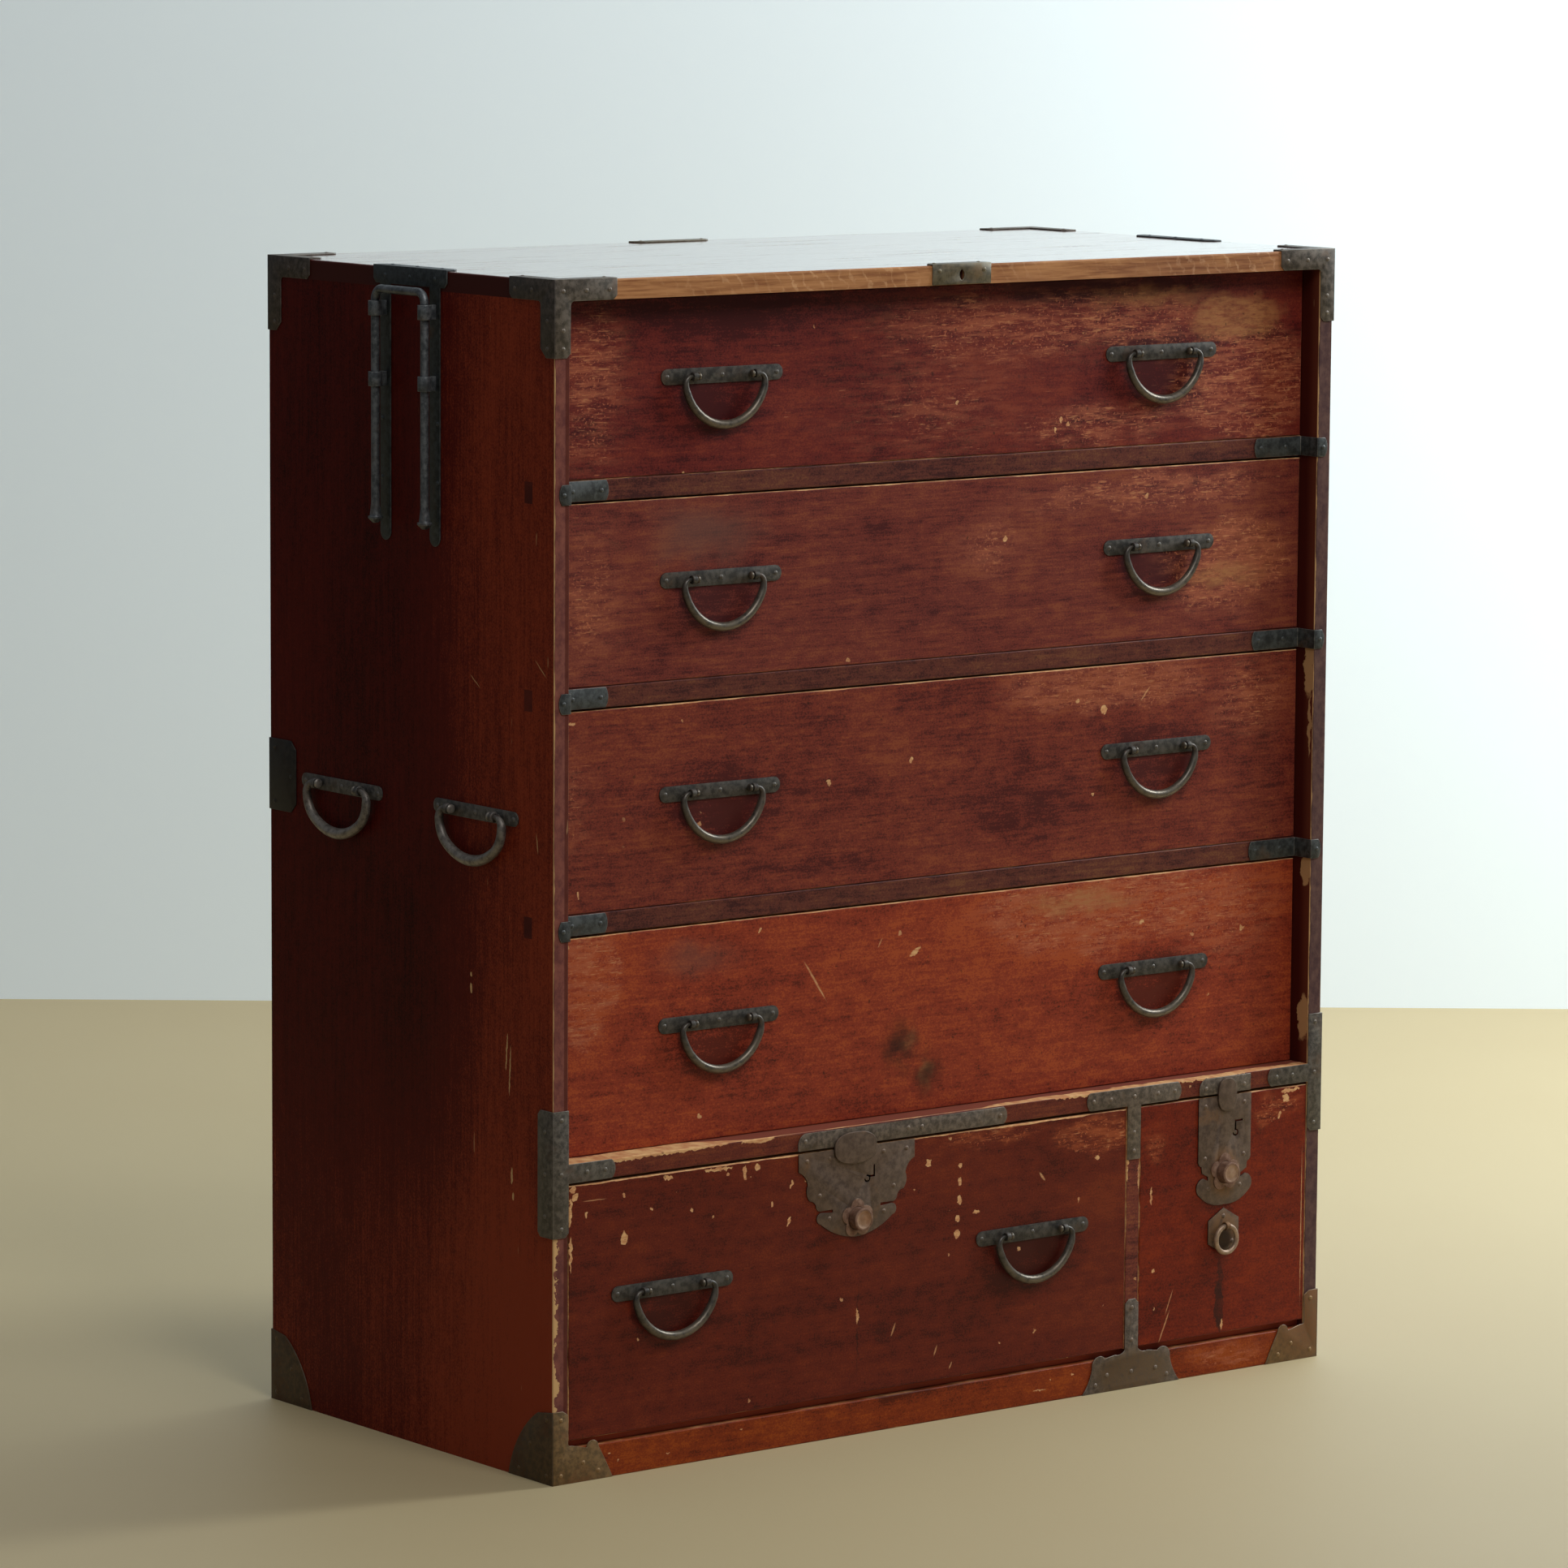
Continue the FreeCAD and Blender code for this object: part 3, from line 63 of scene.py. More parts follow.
# The point attribute that says how bright hands keep a bail
POLISH = "polish"


def tone(code: str) -> Colour:
    """The linear colour of a six-digit screen code.

    Args:
        code: Two digits each of red, green and blue.

    Returns:
        The colour with an alpha of one.
    """
    values = [int(code[i:i + 2], 16) / 255 for i in (0, 2, 4)]
    linear = [v / 12.92 if v <= 0.04045 else ((v + 0.055) / 1.055) ** 2.4 for v in values]
    return (linear[0], linear[1], linear[2], 1.0)


def shade(code: str, red: float, green: float, blue: float) -> Colour:
    """A code's colour with each of its three parts scaled."""
    colour = tone(code)
    return (colour[0] * red, colour[1] * green, colour[2] * blue, 1.0)


class Wear(Enum):
    """Kinds of mark on lacquer and iron, most left by use and age and some painted shade or sheen.
    """

    CHIP = "chip"
    SCRATCH = "scratch"
    RUB = "rub"
    PATCH = "patch"
    STAIN = "stain"
    HALO = "halo"
    HAZE = "haze"
    GLOW = "glow"
    PETAL = "petal"


@dataclass(frozen=True)
class Mark:
    """One mark, worn or painted shade or sheen: kind, middle, size, turn in degrees and strength.

    On the front, x and z are millimetres from the chest's left edge and from the floor. On a
    side board, x runs back from its front edge.
    """

    kind: Wear
    x: float
    z: float
    width: float
    height: float
    turn: float = 0.0
    strength: float = 1.0


Marks = tuple[Mark, ...]


def worn(kind: Wear, *rows: tuple[float, ...]) -> Marks:
    """Marks of one kind, each row holding the other fields of a mark in order."""
    return tuple(Mark(kind, *row) for row in rows)


class Graph:
    """A material's node tree, with short calls for the nodes that the finishes share."""

    def __init__(self, name: str, seed: float = 0.0) -> None:
        """Starts a material with its shader and its Object coordinates.

        Args:
            name: The material's name.
            seed: An offset that moves all of its patterns.
        """
        self.material = bpy.data.materials.new(name)
        self.material.use_nodes = True
        self.tree = self.material.node_tree
        self.shader = self.tree.nodes["Principled BSDF"]
        self.seed = seed
        self.place: Socket = self.tree.nodes.new("ShaderNodeTexCoord").outputs["Object"]
        self.x, self.y, self.z = self.add("ShaderNodeSeparateXYZ", Vector=self.place).outputs

    def feed(self, socket: Socket, value: Value) -> None:
        """Links an input to a socket, or sets its value.

        Args:
            socket: The input.
            value: A socket, a number, a row of numbers or a colour's code.
        """
        if isinstance(value, Socket):
            self.tree.links.new(value, socket)
        else:
            socket.default_value = tone(value) if isinstance(value, str) else value

    def add(self, kind: str, **inputs: Value) -> bpy.types.Node:
        """Adds a node.

        Args:
            kind: The node's type.
            **inputs: What feeds each input, by its name with _ for a space.

        Returns:
            The node.
        """
        node = self.tree.nodes.new(kind)
        for name, value in inputs.items():
            self.feed(node.inputs[name.replace("_", " ")], value)
        return node

    def operate(self, kind: str, operation: str, values: tuple[Value, ...]) -> bpy.types.Node:
        """Adds a Math or Vector Math node.

        Args:
            kind: The node's type.
            operation: What it works out.
            values: What feeds its inputs, in order.

        Returns:
            The node.
        """
        node = self.tree.nodes.new(kind)
        node.operation = operation
        for socket, value in zip(node.inputs, values):
            self.feed(socket, value)
        return node

    def calc(self, operation: str, *values: Value) -> Socket:
        """A Math node's result."""
        return self.operate("ShaderNodeMath", operation, values).outputs[0]

    def vector(self, operation: str, *values: Value) -> bpy.types.Node:
        """A Vector Math node."""
        return self.operate("ShaderNodeVectorMath", operation, values)

    def times(self, a: Value, b: Value) -> Socket:
        """The product of two numbers."""
        return self.calc("MULTIPLY", a, b)

    def minus(self, a: Value, b: Value) -> Socket:
        """The first number less the second."""
        return self.calc("SUBTRACT", a, b)

    def most(self, *values: Value | None) -> Socket:
        """The largest of some numbers, leaving out those that are None."""
        best, *others = [value for value in values if value is not None]
        for value in others:
            best = self.calc("MAXIMUM", best, value)
        return best

    def swayed(self, value: Value, parts: tuple[tuple[Socket, float], ...]) -> Socket:
        """Moves a number up and down by noises.

        Args:
            value: The number.
            parts: Each noise with its share.

        Returns:
            The number, the same as before where each noise is one half.
        """
        for part, share in parts:
            value = self.calc("MULTIPLY_ADD", self.minus(part, 0.5), share, value)
        return value

    def fade(self, value: Value, low: float, high: float) -> Socket:
        """A smooth step.

        Args:
            value: The number that it follows.
            low: Where the step is 0.
            high: Where the step is 1. It may be the lower one.

        Returns:
            The step.
        """
        node = self.add("ShaderNodeMapRange")
        node.interpolation_type = "SMOOTHSTEP"
        for socket, number in zip(node.inputs, (value, low, high, 0.0, 1.0)):
            self.feed(socket, number)
        return node.outputs[0]

    def depth(self, low: float, high: float) -> Socket:
        """A smooth step on the millimetres behind the front plane."""
        return self.fade(self.y, (FRONT_Y + low) * MM, (FRONT_Y + high) * MM)

    def aside(self, low: float, high: float) -> Socket:
        """A smooth step on the millimetres left or right of the chest's middle."""
        return self.fade(self.calc("ABSOLUTE", self.x), low * MM, high * MM)

    def noise(self, scale: Triple, detail: float = 3.0, rough: float = 0.55,
              offset: float = 0.0) -> Socket:
        """Noise stretched by a scale on each axis.

        Args:
            scale: Waves per metre along X, Y and Z.
            detail: Octaves.
            rough: How strong the finer octaves are.
            offset: What is added to the material's seed, for a pattern of its own.

        Returns:
            The noise from 0 to 1, mostly near 0.5.
        """
        seed = self.seed + offset
        spot = self.add("ShaderNodeMapping", Vector=self.place, Scale=scale,
                        Location=(seed, seed * 1.7, seed * 2.3))
        return self.add("ShaderNodeTexNoise", Vector=spot.outputs[0], Scale=1.0, Detail=detail,
                        Roughness=rough).outputs["Fac"]

    def blend(self, factor: Value, a: Value, b: Value, mode: str = "MIX") -> Socket:
        """Mixes two colours.

        Args:
            factor: The share of the second colour.
            a: The first colour.
            b: The second colour.
            mode: How they mix.

        Returns:
            The colour.
        """
        node = self.tree.nodes.new("ShaderNodeMix")
        node.data_type = "RGBA"
        node.blend_type = mode
        for i, value in ((0, factor), (6, a), (7, b)):
            self.feed(node.inputs[i], value)
        return node.outputs[2]

    def tint(self, colour: Value, other: Value, share: Value | None) -> Value:
        """The colour mixed towards another by a share, or as it was where the share is None."""
        return colour if share is None else self.blend(share, colour, other)

    def level(self, factor: Value, a: Value, b: Value) -> Socket:
        """Mixes number a towards number b by the factor."""
        node = self.tree.nodes.new("ShaderNodeMix")
        for i, value in ((0, factor), (2, a), (3, b)):
            self.feed(node.inputs[i], value)
        return node.outputs[0]

    def bent(self, waves: float, detail: float, push: float) -> Socket:
        """The place, pushed by noise so that outlines are uneven.

        Args:
            waves: The noise's waves per metre.
            detail: Its octaves.
            push: How far it can push, in metres.

        Returns:
            The place.
        """
        jitter = self.add("ShaderNodeTexNoise", Vector=self.place, Scale=waves, Detail=detail)
        return self.vector("MULTIPLY_ADD", jitter.outputs["Color"], (push,) * 3,
                           self.place).outputs[0]

    def marks(self, marks: Marks, kind: Wear, reach: tuple[float, float], warp: float,
              waves: float = 180.0, share: float = 1.0, side: bool = False) -> Socket | None:
        """How much the marks of one kind count at each point.

        Args:
            marks: Marked places, worn or painted shade or sheen.
            kind: The kind that counts.
            reach: How far inside a mark it starts to count and counts in full, from 0 at the
                rim to the mark's strength at its middle.
            warp: How far, in millimetres, noise bends their outlines.
            waves: The noise's waves per metre.
            share: What the result is scaled by.
            side: Whether the marks lie on a side board.

        Returns:
            The share inside the marks and 0 outside them, or None where there is no mark.
        """
        chosen = [mark for mark in marks if mark.kind is kind]
        if not chosen:
            return None
        push = 2 * warp * MM
        spot = self.vector("ADD", self.bent(waves, 3.0, push), (-push / 2,) * 3).outputs[0]
        endless = 1000.0
        nearest = None
        for mark in chosen:
            half = (mark.width / 2 * MM, mark.height / 2 * MM)
            turn = math.radians(mark.turn)
            if side:
                middle = (0.0, (FRONT_Y + mark.x) * MM, mark.z * MM)
                turns, sizes = (turn, 0.0, 0.0), (endless, half[0], half[1])
            else:
                middle = ((mark.x - HALF_WIDTH) * MM, 0.0, mark.z * MM)
                turns, sizes = (0.0, turn, 0.0), (half[0], endless, half[1])
            local = self.add("ShaderNodeMapping", Vector=spot, Location=middle, Rotation=turns,
                             Scale=sizes)
            local.vector_type = "TEXTURE"
            far = self.vector("LENGTH", local.outputs[0]).outputs["Value"]
            inside = self.calc("MULTIPLY_ADD", far, -mark.strength, mark.strength)
            nearest = self.most(nearest, inside)
        counts = self.fade(nearest, *reach)
        return counts if share == 1.0 else self.times(counts, share)

    def rim(self, value: Socket, edge: float, width: float, ragged: Socket,
            least: float = 0.0) -> Socket:
        """A ragged band along an edge.

        Args:
            value: The coordinate across the edge.
            edge: Where the edge is, in millimetres.
            width: The band's usual width, in millimetres.
            ragged: Noise that widens and closes the band.
            least: The share of the width that the band never loses.

        Returns:
            1 in the band and 0 outside it.
        """
        away = self.calc("ABSOLUTE", self.minus(value, edge * MM))
        reach = self.level(self.fade(ragged, 0.38, 0.72), least * width * MM, 2 * width * MM)
        return self.fade(self.minus(reach, away), 0.0, 0.3 * MM)

    def dots(self, waves: float, share: float, size: float, offset: float = 0.0) -> Socket:
        """Scattered small chips with bent outlines.

        Args:
            waves: Cells per metre.
            share: The share of the cells that hold a chip.
            size: The largest chip's radius in cells.
            offset: What is added to the material's seed, for a pattern of its own.

        Returns:
            1 in a chip and 0 outside it.
        """
        spot = self.add("ShaderNodeMapping", Vector=self.bent(260.0, 2.0, 6 * MM),
                        Location=(self.seed + offset,) * 3)
        cells = self.add("ShaderNodeTexVoronoi", Vector=spot.outputs[0], Scale=waves)
        parts = self.add("ShaderNodeSeparateColor", Color=cells.outputs["Color"])
        rare = self.fade(parts.outputs[0], 1.0 - share, 1.005 - share)
        reach = self.times(self.calc("POWER", parts.outputs[1], 2.0), size)
        over = self.minus(reach, cells.outputs["Distance"])
        return self.times(rare, self.fade(over, 0.0, 0.02))

    def bump(self, height: Socket, strength: float, distance: float) -> Socket:
        """A bump from a height, its distance in millimetres."""
        return self.add("ShaderNodeBump", Height=height, Strength=strength,
                        Distance=distance * MM).outputs[0]

    def finish(self, **inputs: Value) -> Material:
        """Feeds the shader's inputs by name, with _ for a space, and gives the material."""
        for name, value in inputs.items():
            self.feed(self.shader.inputs[name.replace("_", " ")], value)
        return self.material


@dataclass(frozen=True)
class Edges:
    """Where a board's face ends, in millimetres in the chest's frame."""

    left: float
    right: float
    low: float
    high: float

    @classmethod
    def of(cls, node: str) -> "Edges":
        """The edges of a CAD node's box."""
        low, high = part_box(node)
        return cls(low.x / MM, high.x / MM, low.z / MM, high.z / MM)


@dataclass(frozen=True)
class FrontLacquer:
    """Worn red-brown lacquer on a board whose grain runs across the front."""

    usual: str = "7a2f22"
    thin: str = "ac6244"
    tan: str = "ba7e54"
    rubbed: str = "a06b42"
    bare: str = "d6aa76"
    dirt_and_shade: str = "22120e"
    painted_sheen_grey: str = "66483f"
    dull: str = "84493a"
    end_dark: str = "45110a"
    end_light: str = "5a1c10"
    darkness: float = 0.0
    flecks: float = 0.0
    chips: float = 0.10
    contrast: float = 1.0
    hair: float = 1.35
    cool: float = 0.55
    top_line: float = 0.6
    low_line: float = 0.35
    side_line: float = 0.5
    top_face: bool = False
    ends: bool = False
    seed: float = 0.0
    marks: Marks = ()

    def ground(self, graph: Graph, clouds: Socket, hair: Socket) -> Socket:
        """The lacquer itself, lighter and darker by grain and clouds, grime, painted shade and
        painted sheen.

        Args:
            graph: The finish's node tree.
            clouds: Slow changes.
            hair: Fine lines along the grain.

        Returns:
            The colour.
        """
        grain = graph.noise((1.8, 30.0, 70.0), 5.0, 0.6)
        mottle = graph.noise((55.0, 55.0, 90.0), 5.0, 0.68, 6.0)
        grit = graph.noise((560.0, 560.0, 700.0), 2.0, 0.6, 4.0)
        value = graph.swayed(0.5 - self.darkness, (
            (grain, 0.75 * self.contrast), (clouds, self.contrast), (mottle, 1.25),
            (hair, self.hair), (grit, 1.5)))
        # Lighter places, and darker places that are partly grime and partly painted shade.
        for near in (graph.marks(self.marks, Wear.GLOW, (0.0, 0.9), 20.0, 30.0, 0.3),
                     graph.marks(self.marks, Wear.HALO, (0.0, 0.8), 12.0, 30.0, -0.5)):
            if near:
                value = graph.calc("ADD", value, near)
        deep = shade(self.usual, 0.42, 0.38, self.cool)
        warm = shade(self.usual, 1.45, 1.95, 1.25)
        colour = graph.blend(graph.fade(value, 0.02, 0.5), deep, self.usual)
        colour = graph.blend(graph.fade(value, 0.5, 0.95), colour, warm)
        # Painted sheen: a soft reflection painted as a greyish tint.
        return graph.tint(colour, self.painted_sheen_grey,
                          graph.marks(self.marks, Wear.HAZE, (0.0, 0.9), 26.0, 26.0, 0.55))

    def flecked(self, graph: Graph, broken: Socket, clump: Socket, ease: Value) -> Socket:
        """Where the lacquer is rubbed through in short streaks and specks.

        Args:
            graph: The finish's node tree.
            broken: Noise that breaks the streaks.
            clump: Noise that gathers them.
            ease: How much the place is rubbed.

        Returns:
            1 on a streak or speck and 0 beside it.
        """
        streak = graph.noise((48.0, 30.0, 720.0), 3.0, 0.6, 7.0)
        bar = graph.minus(0.74 - self.flecks, graph.times(ease, 0.2))
        bar = graph.minus(bar, graph.times(graph.minus(clump, 0.5), 0.36))
        fleck = graph.times(graph.fade(graph.minus(streak, bar), 0.0, 0.09),
                            graph.fade(broken, 0.42, 0.58))
        if not ease:
            return fleck
        speck = graph.noise((380.0, 380.0, 440.0), 2.0, 0.55, 14.0)
        return graph.most(fleck, graph.times(graph.fade(speck, 0.6, 0.66),
                                             graph.fade(ease, 0.25, 0.8)))

    def bare_places(self, graph: Graph, edges: Edges) -> Socket:
        """Where the wood shows: worn corners, chips, scratches and specks.

        Args:
            graph: The finish's node tree.
            edges: Where the board's face ends.

        Returns:
            1 on bare wood and 0 on lacquer.
        """
        ragged = graph.noise((22.0, 22.0, 22.0), 4.0, 0.62, 11.0)
        bare = graph.most(
            graph.rim(graph.z, edges.high, self.top_line, ragged, 0.55),
            graph.times(graph.rim(graph.z, edges.low, self.low_line, ragged), 0.7),
            graph.rim(graph.x, edges.left, self.side_line, ragged, 0.3),
            graph.rim(graph.x, edges.right, self.side_line, ragged),
            graph.marks(self.marks, Wear.CHIP, (0.02, 0.14), 3.4, 210.0),
            graph.marks(self.marks, Wear.SCRATCH, (0.0, 0.5), 0.5, share=0.7),
            graph.times(graph.dots(48.0, self.chips, 0.13), 0.85))
        return graph.times(bare, graph.depth(1.5, 0.5)) if self.top_face else bare

    def ledge(self, graph: Graph, above: Socket) -> Socket:
        """Where a rail's top is worn bare: deep at the left, shallow between the locks.

        Args:
            graph: The finish's node tree.
            above: 1 on the rail's top and 0 below it.

        Returns:
            1 on bare wood and 0 on lacquer.
        """
        uneven = graph.noise((24.0, 60.0, 30.0), 4.0, 0.6, 13.0)
        left = graph.fade(graph.x, -0.23, -0.30)
        middle = graph.times(graph.fade(graph.x, -0.28, -0.22), graph.fade(graph.x, 0.07, 0.02))
        reach = graph.calc("MULTIPLY_ADD", left, 14.0, graph.level(uneven, 1.0, 20.0))
        reach = graph.calc("MULTIPLY_ADD", middle, -10.5, reach)
        depth = graph.calc("DIVIDE", graph.minus(graph.y, FRONT_Y * MM), MM)
        return graph.times(above, graph.fade(graph.minus(reach, depth), 0.0, 1.5))

    def material(self, name: str, edges: Edges) -> Material:
        """Builds the finish for one board.

        Args:
            name: The material's name.
            edges: Where the board's face ends.

        Returns:
            The material.
        """
        graph = Graph(name, self.seed)
        clouds = graph.noise((8.0, 8.0, 13.0), 3.0, 0.55, 3.0)
        hair = graph.noise((28.0, 60.0, 380.0), 3.0, 0.62, 5.0)
        colour = self.ground(graph, clouds, hair)

        broken = graph.noise((110.0, 60.0, 330.0), 2.0, 0.6, 9.0)
        clump = graph.noise((22.0, 22.0, 50.0), 3.0, 0.6, 8.0)
        ease = graph.marks(self.marks, Wear.RUB, (-0.15, 0.5), 26.0, 26.0) or 0.0
        sparse = graph.noise((34.0, 34.0, 190.0), 5.0, 0.68, 12.0)
        film = graph.times(ease, graph.fade(sparse, 0.42, 0.62))
        colour = graph.tint(colour, self.thin, graph.times(film, 0.5))
        fleck = self.flecked(graph, broken, clump, ease)
        fleck_colour = graph.blend(graph.fade(broken, 0.5, 0.72), self.thin, self.tan)
        colour = graph.tint(colour, fleck_colour, graph.times(fleck, 0.75))
        patch = graph.marks(self.marks, Wear.PATCH, (-0.15, 0.5), 16.0, 45.0)
        if patch:
            speckled = graph.noise((60.0, 60.0, 260.0), 5.0, 0.7, 15.0)
            thinned = graph.times(patch, graph.fade(broken, 0.1, 0.5))
            thinned = graph.times(thinned, graph.level(graph.fade(speckled, 0.35, 0.6), 0.4, 1.0))
            colour = graph.tint(colour, self.rubbed, graph.times(thinned, 0.85))
        # Stains darken the lacquer; those behind the locks' key slots are painted shadow, as in a
        # hole.
        stain = graph.marks(self.marks, Wear.STAIN, (-0.1, 0.7), 9.0, 70.0)
        if stain:
            spread = graph.noise((40.0, 40.0, 60.0), 4.0, 0.6, -self.seed)
            stain_and_shade = graph.times(stain, graph.fade(spread, 0.2, 0.6))
            colour = graph.tint(colour, self.dirt_and_shade, graph.times(stain_and_shade, 0.8))

        bare = self.bare_places(graph, edges)
        if self.top_face:
            above = graph.fade(graph.z, (edges.high - 0.6) * MM, (edges.high - 0.2) * MM)
            colour = graph.tint(colour, self.dull, graph.times(above, 0.7))
            bare = graph.most(bare, self.ledge(graph, above))
        wood = graph.blend(graph.fade(broken, 0.3, 0.7), self.tan, self.bare)
        colour = graph.tint(colour, wood, bare)
        pits = graph.fade(graph.noise((190.0, 190.0, 190.0), 1.0, 0.5), 0.74, 0.79)
        colour = graph.tint(colour, self.dirt_and_shade, graph.times(pits, 0.55))
        if self.ends:
            end_grain = graph.blend(graph.fade(clump, 0.3, 0.7), self.end_dark, self.end_light)
            colour = graph.tint(colour, end_grain, graph.aside(HALF_WIDTH - 6, HALF_WIDTH - 3))

        rough = graph.level(clouds, 0.34, 0.5)
        rough = graph.level(graph.most(fleck, graph.times(ease, 0.5)), rough, 0.62)
        relief = graph.minus(graph.times(hair, 0.35), bare)
        return graph.finish(Base_Color=colour, Roughness=graph.level(bare, rough, 0.75),
                            Specular_IOR_Level=0.2, Normal=graph.bump(relief, 0.45, 0.2))


@dataclass(frozen=True)
class SideLacquer:
    """Dark red-brown lacquer on the side boards, whose grain runs upright."""

    deep: str = "240604"
    middle: str = "52140e"
    warm: str = "8a361e"
    stile: str = "754840"
    inside: str = "542218"
    stile_inside: str = "4c2018"
    bare: str = "c8a070"
    inner_line: float = 0.35
    foot_line: float = 0.0
    seed: float = 0.0
    side: int = -1
    marks: Marks = ()

    def outside(self, graph: Graph, near: Socket, mottle: Socket, clouds: Socket,
                hair: Socket) -> Socket:
        """The outer face, warmer towards its front and its foot.

        Args:
            graph: The finish's node tree.
            near: 1 near the front and 0 further back.
            mottle: Fine spots.
            clouds: Slow changes.
            hair: Fine lines along the grain.

        Returns:
            The colour.
        """
        grain = graph.noise((30.0, 42.0, 4.0), 5.0, 0.62)
        grit = graph.noise((700.0, 700.0, 520.0), 2.0, 0.6, 5.0)
        foot = graph.fade(graph.z, 0.42, 0.10)
        gloom = graph.times(graph.fade(graph.z, 0.86, 0.66), graph.fade(graph.z, 0.26, 0.5))
        heat = graph.calc("MULTIPLY_ADD", near, 0.5, 0.34)
        for part, share in ((foot, 0.28), (gloom, -0.03)):
            heat = graph.calc("MULTIPLY_ADD", part, share, heat)
        heat = graph.swayed(heat, ((grain, 0.24), (clouds, 0.6), (hair, 0.5), (mottle, 0.4),
                                   (grit, 0.8)))
        colour = graph.blend(graph.fade(heat, 0.0, 0.5), self.deep, self.middle)
        return graph.blend(graph.fade(heat, 0.5, 1.0), colour, self.warm)

    def bare_places(self, graph: Graph, near: Socket, front: Socket, inner: Socket) -> Socket:
        """Where the wood shows: worn corners, chips, scratches and flaked places.

        Args:
            graph: The finish's node tree.
            near: 1 near the front and 0 further back.
            front: 1 on the front edge and 0 behind it.
            inner: 1 on the inner face and 0 on the others.

        Returns:
            1 on bare wood and 0 on lacquer.
        """
        scratch = graph.noise((300.0, 300.0, 20.0), 2.0, 0.5, 6.0)
        scratches = graph.times(graph.fade(scratch, 0.765, 0.785), near)
        ragged = graph.noise((40.0, 40.0, 34.0), 5.0, 0.7, 9.0)
        low = graph.times(graph.fade(graph.z, 0.235, 0.215), self.foot_line)
        corner = graph.aside(HALF_WIDTH - 1.0, HALF_WIDTH - 0.5)
        outer_x = self.side * HALF_WIDTH
        inner_x = self.side * INNER_HALF
        flaked = graph.marks(self.marks, Wear.PATCH, (-0.05, 0.15), 8.0, 90.0, side=True)
        if flaked:
            flaked = graph.times(graph.times(inner, flaked), 0.7)
        return graph.most(
            graph.times(scratches, 0.6),
            graph.times(graph.dots(30.0, 0.05, 0.1), 0.7),
            graph.times(graph.rim(graph.y, FRONT_Y + 0.6, 0.5, ragged, 0.5), corner),
            graph.times(graph.rim(graph.x, outer_x, 0.6, ragged, 0.6), front),
            graph.times(graph.rim(graph.x, inner_x, self.inner_line, ragged, 0.4), front),
            graph.times(graph.rim(graph.x, outer_x, 5.0, ragged, 0.1), graph.times(low, front)),
            flaked,
            graph.marks(self.marks, Wear.CHIP, (-0.02, 0.1), 1.6, 200.0, side=True),
            graph.marks(self.marks, Wear.SCRATCH, (0.0, 0.5), 0.7, share=0.7, side=True))

    def material(self, name: str) -> Material:
        """Builds the finish for one side board, its front edge included.

        Args:
            name: The material's name.

        Returns:
            The material.
        """
        graph = Graph(name, self.seed)
        clouds = graph.noise((3.0, 6.0, 3.0), 3.0, 0.5, 2.0)
        hair = graph.noise((60.0, 330.0, 11.0), 3.0, 0.62, 4.0)
        mottle = graph.noise((120.0, 120.0, 90.0), 5.0, 0.7, 3.0)
        near = graph.depth(270, 30)
        colour = self.outside(graph, near, mottle, clouds, hair)

        front = graph.depth(1.6, 0.6)
        face = graph.blend(graph.fade(mottle, 0.3, 0.7), shade(self.stile, 0.68, 0.62, 0.72),
                           shade(self.stile, 1.25, 1.2, 1.15))
        if self.side < 0:
            redder = graph.fade(graph.x, -(INNER_HALF + 5.5) * MM, -(INNER_HALF + 4.0) * MM)
            face = graph.tint(face, self.stile_inside, graph.times(redder, 0.7))
        colour = graph.tint(colour, face, front)
        inner = graph.times(graph.aside(INNER_HALF + 1.2, INNER_HALF + 0.4),
                            graph.minus(1.0, front))
        # Painted shade on the inner face: darker deeper in the recess, lighter near the front edge.
        reveal_painted_shade = graph.blend(graph.depth(16, 3), shade(self.inside, 0.6, 0.5, 0.6),
                             shade(self.inside, 1.25, 1.7, 1.7))
        colour = graph.tint(colour, reveal_painted_shade, inner)

        bare = self.bare_places(graph, near, front, inner)
        colour = graph.tint(colour, self.bare, bare)
        rough = graph.level(bare, graph.level(clouds, 0.34, 0.5), 0.75)
        relief = graph.minus(graph.times(hair, 0.4), bare)
        return graph.finish(Base_Color=colour, Roughness=rough, Specular_IOR_Level=0.06,
                            Normal=graph.bump(relief, 0.45, 0.2))


